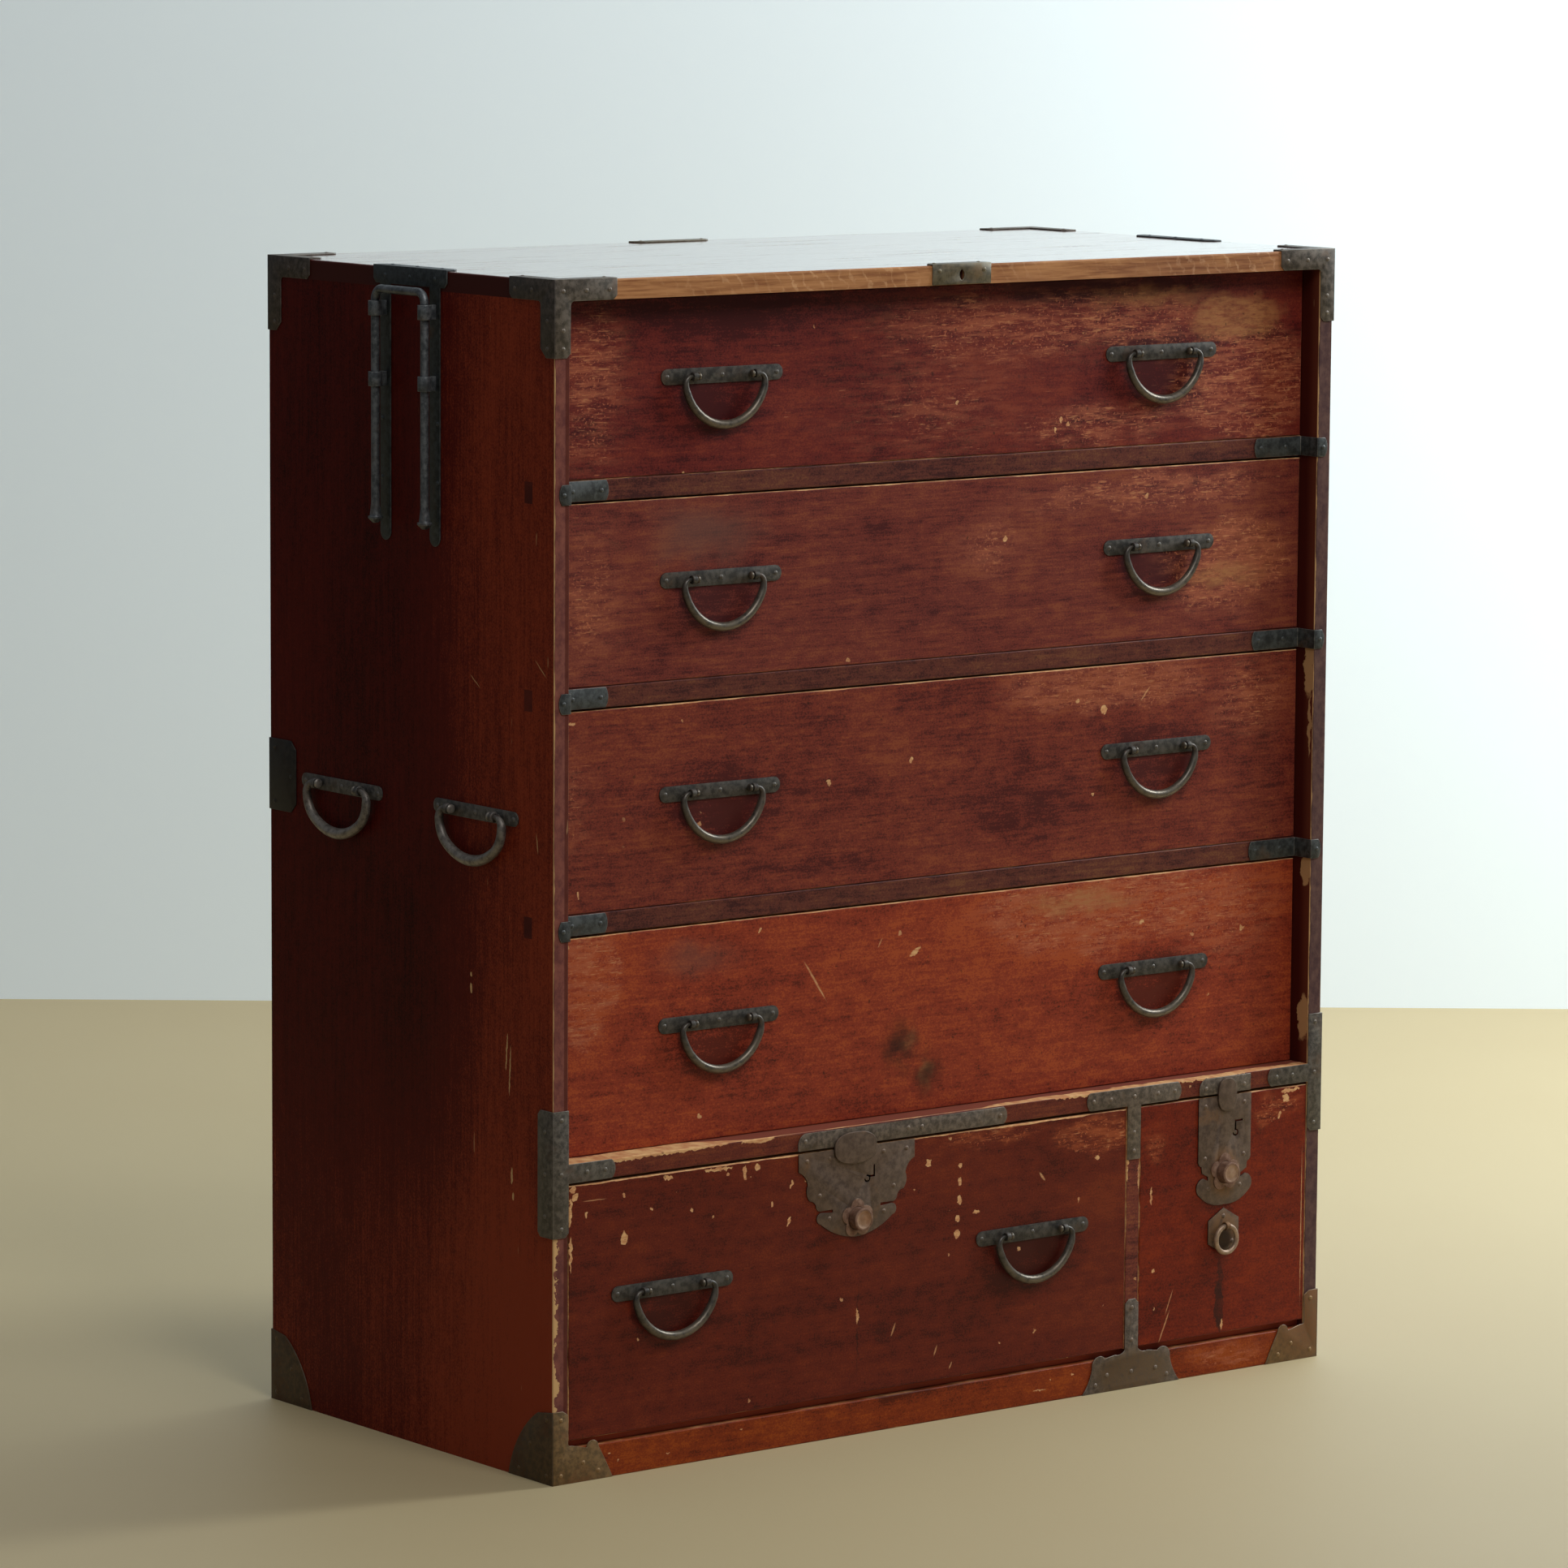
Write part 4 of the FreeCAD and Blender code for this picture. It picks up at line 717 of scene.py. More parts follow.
@dataclass(frozen=True)
class TopLacquer:
    """The top board: dusty gloss above, rubbed to orange-brown wood on its front edge."""

    lacquer: str = "5e3028"
    specks: str = "2a1e1b"
    wood: str = "b07c50"
    grain_dark: str = "83512f"
    worn: str = "d4a87c"
    sides: str = "3c0e08"

    def edge(self, graph: Graph, clouds: Socket, fine: Socket) -> Socket:
        """The front edge's wood, curled in its grain and darker at the right.

        Args:
            graph: The finish's node tree.
            clouds: Slow changes.
            fine: Fine spots.

        Returns:
            The colour.
        """
        grain = graph.noise((16.0, 60.0, 300.0), 4.0, 0.65, 4.0)
        edge = graph.blend(graph.fade(grain, 0.3, 0.64), self.grain_dark, self.wood)
        lean = graph.add("ShaderNodeMapping", Vector=graph.place,
                         Rotation=(0.0, math.radians(32), 0.0))
        curl = graph.add("ShaderNodeTexWave", Vector=lean.outputs[0], Scale=26.0, Distortion=5.0,
                         Detail=4.0, Detail_Scale=4.0)
        curly = graph.times(graph.fade(curl.outputs["Fac"], 0.8, 0.99),
                            graph.fade(fine, 0.36, 0.6))
        curly = graph.times(curly, graph.fade(clouds, 0.4, 0.6))
        edge = graph.tint(edge, self.worn, graph.times(curly, 0.5))
        darker = graph.blend(1.0, edge, (0.74, 0.68, 0.72, 1.0), "MULTIPLY")
        figure = graph.noise((9.0, 9.0, 34.0), 3.0, 0.6, 6.0)
        darker = graph.blend(graph.fade(figure, 0.4, 0.6), darker, edge)
        return graph.tint(edge, darker, graph.fade(graph.x, -0.05, 0.15))

    def material(self, name: str) -> Material:
        """Builds the top board's finish.

        Args:
            name: The material's name.

        Returns:
            The material.
        """
        graph = Graph(name)
        clouds = graph.noise((6.0, 6.0, 6.0), 4.0, 0.6)
        fine = graph.noise((120.0, 160.0, 120.0), 3.0, 0.6, 2.0)
        drag = graph.noise((6.0, 90.0, 20.0), 3.0, 0.6, 3.0)
        colour = graph.blend(graph.fade(drag, 0.4, 0.65), self.lacquer,
                             shade(self.lacquer, 1.25, 1.2, 1.2))
        colour = graph.tint(colour, self.specks, graph.fade(fine, 0.64, 0.7))
        colour = graph.tint(colour, self.specks, graph.times(graph.dots(22.0, 0.12, 0.2, 3.0), 0.8))
        front = graph.depth(2.6, 1.4)
        colour = graph.tint(colour, self.edge(graph, clouds, fine), front)
        outside = graph.aside(HALF_WIDTH - 0.9, HALF_WIDTH - 0.3)
        colour = graph.tint(colour, self.sides, outside)
        upright = graph.most(front, outside)
        rough = graph.level(graph.fade(fine, 0.4, 0.75), 0.16, 0.26)
        rough = graph.calc("ADD", rough, graph.times(graph.fade(drag, 0.5, 0.7), 0.1))
        gloss = graph.level(graph.fade(drag, 0.56, 0.68), 1.0, 0.72)
        return graph.finish(Base_Color=colour, Roughness=graph.level(upright, rough, 0.55),
                            Specular_IOR_Level=0.15, Coat_Weight=graph.level(upright, gloss, 0.0),
                            Coat_Roughness=0.1, Coat_IOR=1.6,
                            Normal=graph.bump(fine, 0.06, 0.05))


@dataclass(frozen=True)
class BareWood:
    """Unfinished softwood.

    The grain is in waves per metre along each axis. The boards' width makes upright seams, the
    cross boards behind cross_from have their grain along X, and a stained front belongs to the
    floor's front edge. These two places are in millimetres.
    """

    light: str = "b58f63"
    dark: str = "8a6540"
    seam: str = "2a1c12"
    stain: str = "9a4026"
    grain: Triple = (3.0, 60.0, 60.0)
    board_width: float = 0.0
    cross_from: float = 0.0
    stained_front: bool = False
    seed: float = 0.0

    def figure(self, graph: Graph, grain: Triple) -> tuple[Socket, Socket]:
        """The year rings and the finer fibre that run along one direction."""
        fine = tuple(value * 6 for value in grain)
        return graph.noise(grain, 5.0, 0.72), graph.noise(fine, 3.0, 0.6, 1.0)

    def planks(self, graph: Graph, colour: Socket) -> Socket:
        """Gives each upright board its own tone, and darkens the seams between them.

        Args:
            graph: The finish's node tree.
            colour: The wood's colour.

        Returns:
            The colour.
        """
        board = graph.add("ShaderNodeTexWhiteNoise")
        board.noise_dimensions = "1D"
        count = graph.calc("DIVIDE", graph.x, self.board_width * MM)
        graph.feed(board.inputs["W"], graph.calc("FLOOR", count))
        colour = graph.tint(colour, self.dark, graph.level(board.outputs["Value"], 0.0, 0.4))
        away = graph.calc("PINGPONG", graph.x, self.board_width / 2 * MM)
        return graph.tint(colour, self.seam, graph.times(graph.fade(away, MM, 0.4 * MM), 0.8))

    def material(self, name: str) -> Material:
        """Builds the bare wood.

        Args:
            name: The material's name.

        Returns:
            The material.
        """
        graph = Graph(name, self.seed)
        rings, fibre = self.figure(graph, self.grain)
        if self.cross_from:
            along_x = (self.grain[1], self.grain[0], self.grain[2])
            crossing = graph.fade(graph.y, (self.cross_from - 0.5) * MM, self.cross_from * MM)
            cross_rings, cross_fibre = self.figure(graph, along_x)
            rings = graph.level(crossing, rings, cross_rings)
            fibre = graph.level(crossing, fibre, cross_fibre)
        colour = graph.blend(graph.fade(rings, 0.38, 0.62), self.dark, self.light)
        colour = graph.tint(colour, self.dark, graph.times(graph.fade(fibre, 0.5, 0.75), 0.5))
        if self.board_width:
            colour = self.planks(graph, colour)
        if self.stained_front:
            colour = graph.tint(colour, self.stain, graph.depth(12, 10))
        return graph.finish(Base_Color=colour, Roughness=graph.level(fibre, 0.6, 0.8),
                            Specular_IOR_Level=0.3, Normal=graph.bump(fibre, 0.4, 0.3))


@dataclass(frozen=True)
class ForgedIron:
    """Blackened sheet or bar iron, mottled, with brown rust in places.

    Its marks are places that are browner (GLOW) or darker by painted shade (STAIN), and rosettes
    (PETAL), which are raised and redder. Its two shades are painted shade, beside the case and at
    the rear.
    """

    base: str = "34312e"
    pale: str = "56514b"
    rust: str = "5a4230"
    bright: str = "7c756c"
    petals: tuple[str, str] = ("6c4c3c", "8f705e")
    slot: str = "0c0a09"
    painted_shade_colour: str = "1c1614"
    rust_amount: float = 0.35
    polish: float = 0.0
    handled: bool = False
    metal: float = 0.5
    side_painted_shade: float = 1.0
    rear_painted_shade: float = 1.0
    seed: float = 0.0
    marks: Marks = ()

    def rosettes(self, graph: Graph, colour: Socket, mottle: Socket) -> Socket:
        """Reddens the raised rosettes of a lock plate, and paints shadow in its slots and along its
        sides.

        Args:
            graph: The finish's node tree.
            colour: The iron's colour.
            mottle: Fine spots.

        Returns:
            The colour.
        """
        inside = graph.marks(self.marks, Wear.PETAL, (0.0, 0.1), 0.5)
        if not inside:
            return colour
        raised = graph.times(graph.depth(-1.7, -2.2), inside)
        petal = graph.blend(graph.fade(mottle, 0.36, 0.66), *self.petals)
        colour = graph.tint(colour, petal, raised)
        # Painted shadow in the key slots and along the plate's sides, near the front board.
        return graph.tint(colour, self.slot, graph.times(graph.depth(-1.08, -0.85), 0.9))

    def material(self, name: str) -> Material:
        """Builds the iron.

        Args:
            name: The material's name.

        Returns:
            The material.
        """
        graph = Graph(name, self.seed)
        mottle = graph.noise((170.0, 170.0, 170.0), 5.0, 0.68)
        blotch = graph.noise((26.0, 26.0, 26.0), 4.0, 0.6, 2.0)
        grit = graph.noise((620.0, 620.0, 620.0), 2.0, 0.6, 4.0)
        colour = graph.blend(graph.fade(mottle, 0.36, 0.66), self.base, self.pale)
        rusty = graph.fade(blotch, 0.62 - 0.25 * self.rust_amount, 0.8 - 0.2 * self.rust_amount)
        rusty = graph.most(rusty, graph.marks(self.marks, Wear.GLOW, (0.0, 0.5), 3.0, 90.0))
        rusty = graph.times(rusty, graph.fade(mottle, 0.2, 0.55))
        colour = graph.tint(colour, self.rust, graph.times(rusty, 0.85))
        colour = self.rosettes(graph, colour, mottle)
        # Painted shade: darker marks, such as the ring's plate inside the ring.
        colour = graph.tint(colour, self.painted_shade_colour, graph.marks(self.marks, Wear.STAIN, (0.0, 0.5),
                                                           1.5, 90.0, 0.75))
        # Painted shade: the iron darkens on the case's sides and at its rear.
        beside = graph.aside(HALF_WIDTH, HALF_WIDTH + 0.4)
        behind = graph.fade(graph.y, -40 * MM, 40 * MM)
        for place, amount in ((beside, self.side_painted_shade), (behind, self.rear_painted_shade)):
            if amount < 1:
                dimmed = graph.blend(1.0, colour, (amount, amount, amount * 1.08, 1.0), "MULTIPLY")
                colour = graph.tint(colour, dimmed, place)
        rough = graph.level(graph.fade(mottle, 0.35, 0.7), 0.44 - self.polish, 0.62 - self.polish)
        rough = graph.level(graph.times(rusty, 0.6), rough, 0.75)
        if self.handled:
            held = graph.add("ShaderNodeAttribute")
            held.attribute_name = POLISH
            share = graph.times(held.outputs["Fac"], graph.fade(mottle, 0.25, 0.6))
            colour = graph.tint(colour, self.bright, share)
            rough = graph.level(share, rough, 0.34)
        dents = graph.calc("ADD", graph.times(mottle, 0.8), graph.times(grit, 0.3))
        return graph.finish(Base_Color=colour, Roughness=rough, Metallic=self.metal,
                            Specular_IOR_Level=0.5, Normal=graph.bump(dents, 0.5, 0.3))


def active(piece: Piece) -> None:
    """Deselects everything and makes one piece selected and active."""
    if bpy.context.mode != "OBJECT":
        bpy.ops.object.mode_set(mode="OBJECT")
    bpy.ops.object.select_all(action="DESELECT")
    piece.select_set(True)
    bpy.context.view_layer.objects.active = piece


def settled(piece: Piece, name: str) -> Piece:
    """Names a new piece and puts its place into its mesh."""
    active(piece)
    piece.name = name
    piece.data.name = name
    bpy.ops.object.transform_apply(location=True, rotation=True, scale=True)
    return piece


def smoothed(piece: Piece, angle: float) -> Piece:
    """Smooths a piece's shading except at corners sharper than the angle."""
    active(piece)
    bpy.ops.object.shade_smooth_by_angle(angle=math.radians(angle))
    return piece


def closed(piece: Piece, angle: float) -> Piece:
    """Turns the faces of a piece in edit mode outwards, and smooths it up to the angle."""
    bpy.ops.mesh.select_all(action="SELECT")
    bpy.ops.mesh.normals_make_consistent(inside=False)
    bpy.ops.object.mode_set(mode="OBJECT")
    return smoothed(piece, angle)


def stepped(middle: Vector, move: Vector, scale: float) -> None:
    """Extrudes the selected face to a new middle and scales it there."""
    bpy.ops.mesh.extrude_region_move(TRANSFORM_OT_translate={"value": move})
    bpy.ops.transform.resize(value=(scale, scale, scale), center_override=middle)


def paint(piece: Piece, material: Material) -> Piece:
    """Gives a piece one material."""
    if piece.material_slots:
        for slot in piece.material_slots:
            slot.material = material
    else:
        piece.data.materials.append(material)
    return piece


def dress(node: str, material: Material) -> None:
    """Gives a CAD node its finish."""
    paint(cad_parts[node], material)
    LOG.info("dressed %s", node)


def copied(data: bpy.types.Mesh, name: str) -> Piece:
    """A new piece with its own copy of a mesh."""
    piece = bpy.data.objects.new(name, data.copy())
    bpy.context.scene.collection.objects.link(piece)
    piece.data.name = name
    return piece


def stand_in(piece: Piece, node: str, body: str) -> None:
    """Puts a piece in a CAD node's stead.

    Args:
        piece: The piece.
        node: The node, which it hides.
        body: The body that it rides on.
    """
    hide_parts(node)
    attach(piece, body)
    LOG.info("made %s", piece.name)


class IronSet:
    """One kind of iron: the finishes of its faces, its corners, lighter by wear and by a painted
    highlight, and its nail heads.
    """

    def __init__(self, name: str, iron: ForgedIron) -> None:
        """Makes the three finishes.

        Args:
            name: The start of the materials' names.
            iron: The faces' finish.
        """
        # The corners are lighter: partly wear, partly a painted highlight along the edges.
        corner = replace(iron, base=iron.pale, pale=iron.bright, rust_amount=0.1, polish=0.1,
                         marks=())
        nail = replace(iron, base=iron.pale, rust_amount=0.2, polish=0.04, marks=())
        self.face = iron.material(name)
        self.finishes = (self.face, corner.material(name + "_corner"),
                         nail.material(name + "_nail"))


@dataclass(frozen=True)
class WornIron:
    """A copy of a CAD node of iron with its corners worn round, sizes in millimetres."""

    node: str
    body: str
    width: float
    merged: float = 0.004
    flat: float = 0.6
    sharp: float = 38.0
    nail_size: float = 5.2

    def build(self, irons: IronSet) -> None:
        """Copies the node, bevels it and puts the copy in the node's stead.

        Args:
            irons: The finishes of its faces, its corners with wear and painted highlight, and its
                nails.
        """
        piece = copied(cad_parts[self.node].data, self.node + "_worn")
        piece.data.materials.clear()
        for material in irons.finishes:
            piece.data.materials.append(material)
        active(piece)
        bpy.ops.object.mode_set(mode="EDIT")
        bpy.ops.mesh.select_all(action="SELECT")
        bpy.ops.mesh.remove_doubles(threshold=self.merged * MM)
        bpy.ops.mesh.dissolve_limited(angle_limit=math.radians(self.flat))
        bpy.ops.object.mode_set(mode="OBJECT")
        for face in piece.data.polygons:
            face.material_index = 0
        bevel = piece.modifiers.new("worn_corners", "BEVEL")
        bevel.width = self.width * MM
        bevel.segments = 2
        bevel.limit_method = "ANGLE"
        bevel.angle_limit = math.radians(self.sharp)
        bevel.use_clamp_overlap = True
        bevel.material = 1
        bpy.ops.object.modifier_apply(modifier=bevel.name)
        for i in self.nails(piece.data):
            piece.data.polygons[i].material_index = 2
        smoothed(piece, 40.0)
        stand_in(piece, self.node, self.body)

    def nails(self, mesh: bpy.types.Mesh) -> set[int]:
        """The faces of a mesh's loose parts that are no larger than a nail head.

        Args:
            mesh: The mesh.

        Returns:
            The indices of those faces.
        """
        root = list(range(len(mesh.vertices)))

        def top(i: int) -> int:
            """The first vertex of the part that vertex i belongs to."""
            while root[i] != i:
                root[i] = root[root[i]]
                i = root[i]
            return i

        for edge in mesh.edges:
            a, b = (top(i) for i in edge.vertices)
            root[a] = b
        groups: dict[int, list[int]] = {}
        for i in range(len(root)):
            groups.setdefault(top(i), []).append(i)
        small = set()
        for key, members in groups.items():
            points = [mesh.vertices[i].co for i in members]
            spans = [max(p[k] for p in points) - min(p[k] for p in points) for k in range(3)]
            if max(spans) <= self.nail_size * MM:
                small.add(key)
        return {face.index for face in mesh.polygons if top(face.vertices[0]) in small}


@dataclass(frozen=True)
class Station:
    """One ring of a forged bar: its middle, its turn about the Y axis and its radius."""

    x: float
    z: float
    turn: float
    radius: float


@dataclass
class Bail:
    """A tapered bail, forged round and hung by its upset ends from two eyes in line."""

    half_width: float
    drop: float
    pin_r: float
    side_r: float
    middle_r: float
    corner_r: float
    shoulder_r: float
    knob_r: float
    eye_face: float = 31.6
    shoulder_share: float = 0.84
    knob: tuple[tuple[float, float], ...] = ((3.6, 0.45), (3.3, 0.78), (2.6, 1.0), (1.3, 1.0),
                                             (0.5, 0.85))
    sides: int = 16
    steps: int = 8

    def stations(self) -> list[Station]:
        """The rings from one end's knob to the other's."""
        rise = self.drop - self.corner_r
        reach = self.half_width ** 2 + rise ** 2 - 2 * self.half_width * self.shoulder_r
        bottom_r = reach / (2 * (rise - self.shoulder_r))
        bottom_z = bottom_r - self.drop
        swing = math.atan2(bottom_z + self.corner_r, self.half_width - self.shoulder_r)
        quarter = math.pi / 2
        shoulder = self.middle_r * self.shoulder_share
        arcs = [(self.half_width - self.corner_r, -self.corner_r, self.corner_r, quarter, 0.0,
                 self.pin_r, self.side_r),
                (self.half_width - self.shoulder_r, -self.corner_r, self.shoulder_r, 0.0, -swing,
                 self.side_r, shoulder),
                (0.0, bottom_z, bottom_r, -swing, -quarter, shoulder, self.middle_r)]
        half = [Station(self.eye_face - away, 0.0, 0.0, self.knob_r * share)
                for away, share in self.knob]
        half += [Station(self.eye_face - 0.1, 0.0, 0.0, self.pin_r),
                 Station(self.half_width - self.corner_r, 0.0, 0.0, self.pin_r)]
        for x, z, radius, start, end, thin, thick in arcs:
            for i in range(1, self.steps + 1):
                share = i / self.steps
                angle = start + (end - start) * share
                half.append(Station(x + radius * math.cos(angle), z + radius * math.sin(angle),
                                    angle - quarter, thin + (thick - thin) * share))
        other = [Station(-s.x, s.z, -2 * math.pi - s.turn, s.radius) for s in reversed(half[:-1])]
        return half + other

    def build(self, name: str) -> Piece:
        """Extrudes the bail ring by ring at the origin, and marks where hands polish it.

        Args:
            name: The piece's name.

        Returns:
            The bail, hanging from the origin.
        """
        rings = self.stations()
        first = rings[0]
        bpy.ops.mesh.primitive_circle_add(vertices=self.sides, radius=first.radius * MM,
                                          fill_type="NGON", rotation=(0, math.pi / 2, 0),
                                          location=(first.x * MM, 0, first.z * MM))
        piece = settled(bpy.context.object, name)
        bpy.ops.object.mode_set(mode="EDIT")
        bpy.ops.mesh.select_all(action="SELECT")
        for before, after in zip(rings, rings[1:]):
            middle = Vector((after.x, 0, after.z)) * MM
            move = Vector((after.x - before.x, 0, after.z - before.z)) * MM
            stepped(middle, move, after.radius / before.radius)
            bpy.ops.transform.rotate(value=after.turn - before.turn, orient_axis="Y",
                                     center_override=middle)
        closed(piece, 50.0)
        held = piece.data.attributes.new(POLISH, "FLOAT", "POINT")
        for i, point in enumerate(piece.data.vertices):
            down = min(1.0, max(0.0, -point.co.z / (self.drop * MM)))
            at_knob = abs(point.co.x) < self.eye_face * MM and down < 0.2
            held.data[i].value = 0.75 if at_knob else 0.15 + 0.85 * down ** 1.5
        return piece


@dataclass
class Handles:
    """The bails of all the drawers and of both sides, hung in the plates' eyes."""

    drawer_bail: Bail
    side_bail: Bail
    drawer_iron: Material
    side_iron: Material
    eye_reach: float = 5.6

    def build(self) -> None:
        """Forges one bail of each kind and hangs a copy in each pair of eyes."""
        pattern = self.drawer_bail.build("drawer_bail_pattern")
        side_pattern = self.side_bail.build("side_bail_pattern")
        for node in sorted(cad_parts):
            if "_bail_" not in node:
                continue
            low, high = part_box(node)
            middle = (low + high) / 2
            if node.startswith("side_bail"):
                out = -1 if "left" in node else 1
                pin = Vector((out * (HALF_WIDTH + IRON_THICKNESS + self.eye_reach) * MM, middle.y,
                              high.z - self.side_bail.pin_r * MM))
                turn = Matrix.Rotation(math.pi / 2, 4, "Z")
                source, iron = side_pattern, self.side_iron
            else:
                pin = Vector((middle.x, middle.y, high.z - self.drawer_bail.pin_r * MM))
                turn = Matrix.Identity(4)
                source, iron = pattern, self.drawer_iron
            piece = copied(source.data, node + "_forged")
            piece.data.transform(Matrix.Translation(pin) @ turn)
            stand_in(paint(piece, iron), node, node)
        for spare in (pattern, side_pattern):
            bpy.data.objects.remove(spare)


@dataclass
class Drawer:
    """A drawer: its worn front, its bare box and its irons."""

    name: str
    lacquer: FrontLacquer
    box: Material
    irons: IronSet
    corner: float = 0.3
    grime_and_shade_size: tuple[float, float] = (165.0, 105.0)
    grime_and_shade_drop: float = 18.0

    def grime_and_shade_halos(self) -> Marks:
        """The dark marks round the two pulls, partly grime and partly painted shade, found from
        their bails.
        """
        bails = [f"{self.name}_bail_{side}" for side in ("left", "right")]
        boxes = [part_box(bail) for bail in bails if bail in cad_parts]
        return worn(Wear.HALO, *(((low.x + high.x) / 2 / MM + HALF_WIDTH,
                                  high.z / MM - self.grime_and_shade_drop, *self.grime_and_shade_size)
                                 for low, high in boxes))

    def build(self) -> None:
        """Dresses the front and the box, and wears the plates' corners."""
        lacquer = replace(self.lacquer, marks=self.lacquer.marks + self.grime_and_shade_halos())
        front = self.name + "_front"
        dress(front, lacquer.material(self.name + "_lacquer", Edges.of(front)))
        dress(self.name + "_box", self.box)
        if self.name + "_pulls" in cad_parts:
            WornIron(self.name + "_pulls", self.name, self.corner).build(self.irons)


@dataclass
class Knob:
    """A lock's round button with a dished head, turned as one piece.

    The profile gives how far forward each ring lies, from 0 at the foot to 1, and its radius,
    both as shares of the node's.
    """

    profile: tuple[tuple[float, float], ...] = (
        (0.0, 0.985), (0.93, 0.985), (0.935, 0.93), (0.95, 0.93), (0.955, 1.0), (0.985, 1.0),
        (1.0, 0.95), (1.0, 0.78), (0.975, 0.70), (0.962, 0.42), (0.975, 0.30), (0.983, 0.12))
    dish_from: int = 7
    head: float = 0.06
    sides: int = 40

    def build(self, node: str, body_iron: Material, dish_iron: Material) -> None:
        """Turns the knob where its node is.

        Args:
            node: The CAD node that it stands for, and the body that it rides on.
            body_iron: The finish of its side and rim.
            dish_iron: The finish of its dished middle.
        """
        low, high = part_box(node)
        middle = (low + high) / 2
        radius = (high.x - low.x) / 2
        length = high.y - low.y
        rings = [(high.y - share * length, size * radius) for share, size in self.profile]
        y, r = rings[0]
        bpy.ops.mesh.primitive_circle_add(vertices=self.sides, radius=r, fill_type="NGON",
                                          rotation=(math.pi / 2, 0, 0),
                                          location=(middle.x, y, middle.z))
        piece = settled(bpy.context.object, node + "_turned")
        piece.data.materials.append(body_iron)
        piece.data.materials.append(dish_iron)
        bpy.ops.object.mode_set(mode="EDIT")
        bpy.ops.mesh.select_all(action="SELECT")
        for (y0, r0), (y1, r1) in zip(rings, rings[1:]):
            stepped(Vector((middle.x, y1, middle.z)), Vector((0, y1 - y0, 0)), r1 / r0)
        closed(piece, 35.0)
        limit = rings[self.dish_from][1] * 1.01
        face_y = low.y + self.head * length
        for face in piece.data.polygons:
            spot = face.center
            away = math.hypot(spot.x - middle.x, spot.z - middle.z)
            face.material_index = 1 if away < limit and spot.y < face_y else 0
        stand_in(piece, node, node)


@dataclass
class Lock:
    """A drawer lock's plate, bolt and button."""

    drawer: str
    irons: IronSet
    dish: Material
    corner: float = 0.4

    def build(self) -> None:
        """Wears the plate's corners, dresses the bolt and turns the button."""
        WornIron(self.drawer + "_lock_plate", self.drawer, self.corner).build(self.irons)
        dress(self.drawer + "_lock_bolt", self.irons.face)
        Knob().build(self.drawer + "_lock_button", self.irons.face, self.dish)


RAIL_MARKS = worn(Wear.CHIP, (70, 286, 150, 7), (140, 286, 120, 6), (226, 285, 40, 6),
                  (600, 286, 60, 5), (740, 286, 160, 4))
PARTITION_MARKS = worn(Wear.CHIP, (664, 215, 3, 40), (678, 200, 2, 26))
BASE_MARKS = (
    worn(Wear.GLOW, (785, 18, 160, 40))
    + worn(Wear.RUB, (790, 18, 120, 30, 0, 0.6))
    + worn(Wear.CHIP, (62, 22, 3, 2), (72, 14, 2, 3), (127, 12, 3, 2), (209, 23, 3, 2),
           (600, 22, 5, 2.5), (640, 8, 3, 2), (560, 12, 16, 1.4))
    # Painted shade along the base's top, below the drawers.
    + worn(Wear.HALO, (400, 30, 300, 16, 0, 0.6)))
LEFT_MARKS = (
    worn(Wear.CHIP, (70, 378, 1.8, 34, 4), (65, 362, 1.8, 46, 3), (124, 428, 3, 10),
         (124, 440, 3, 4), (62, 268, 3, 16), (60, 250, 3, 8))
    + worn(Wear.SCRATCH, (25, 568, 1.8, 22, -8), (20, 722, 1.4, 26, -50),
           (118, 702, 1.2, 22, -55)))
RIGHT_MARKS = worn(Wear.PATCH, (7, 664, 14, 56), (6, 470, 16, 30), (8, 330, 15, 46),
                   (5, 610, 5, 60, 0, 0.8))


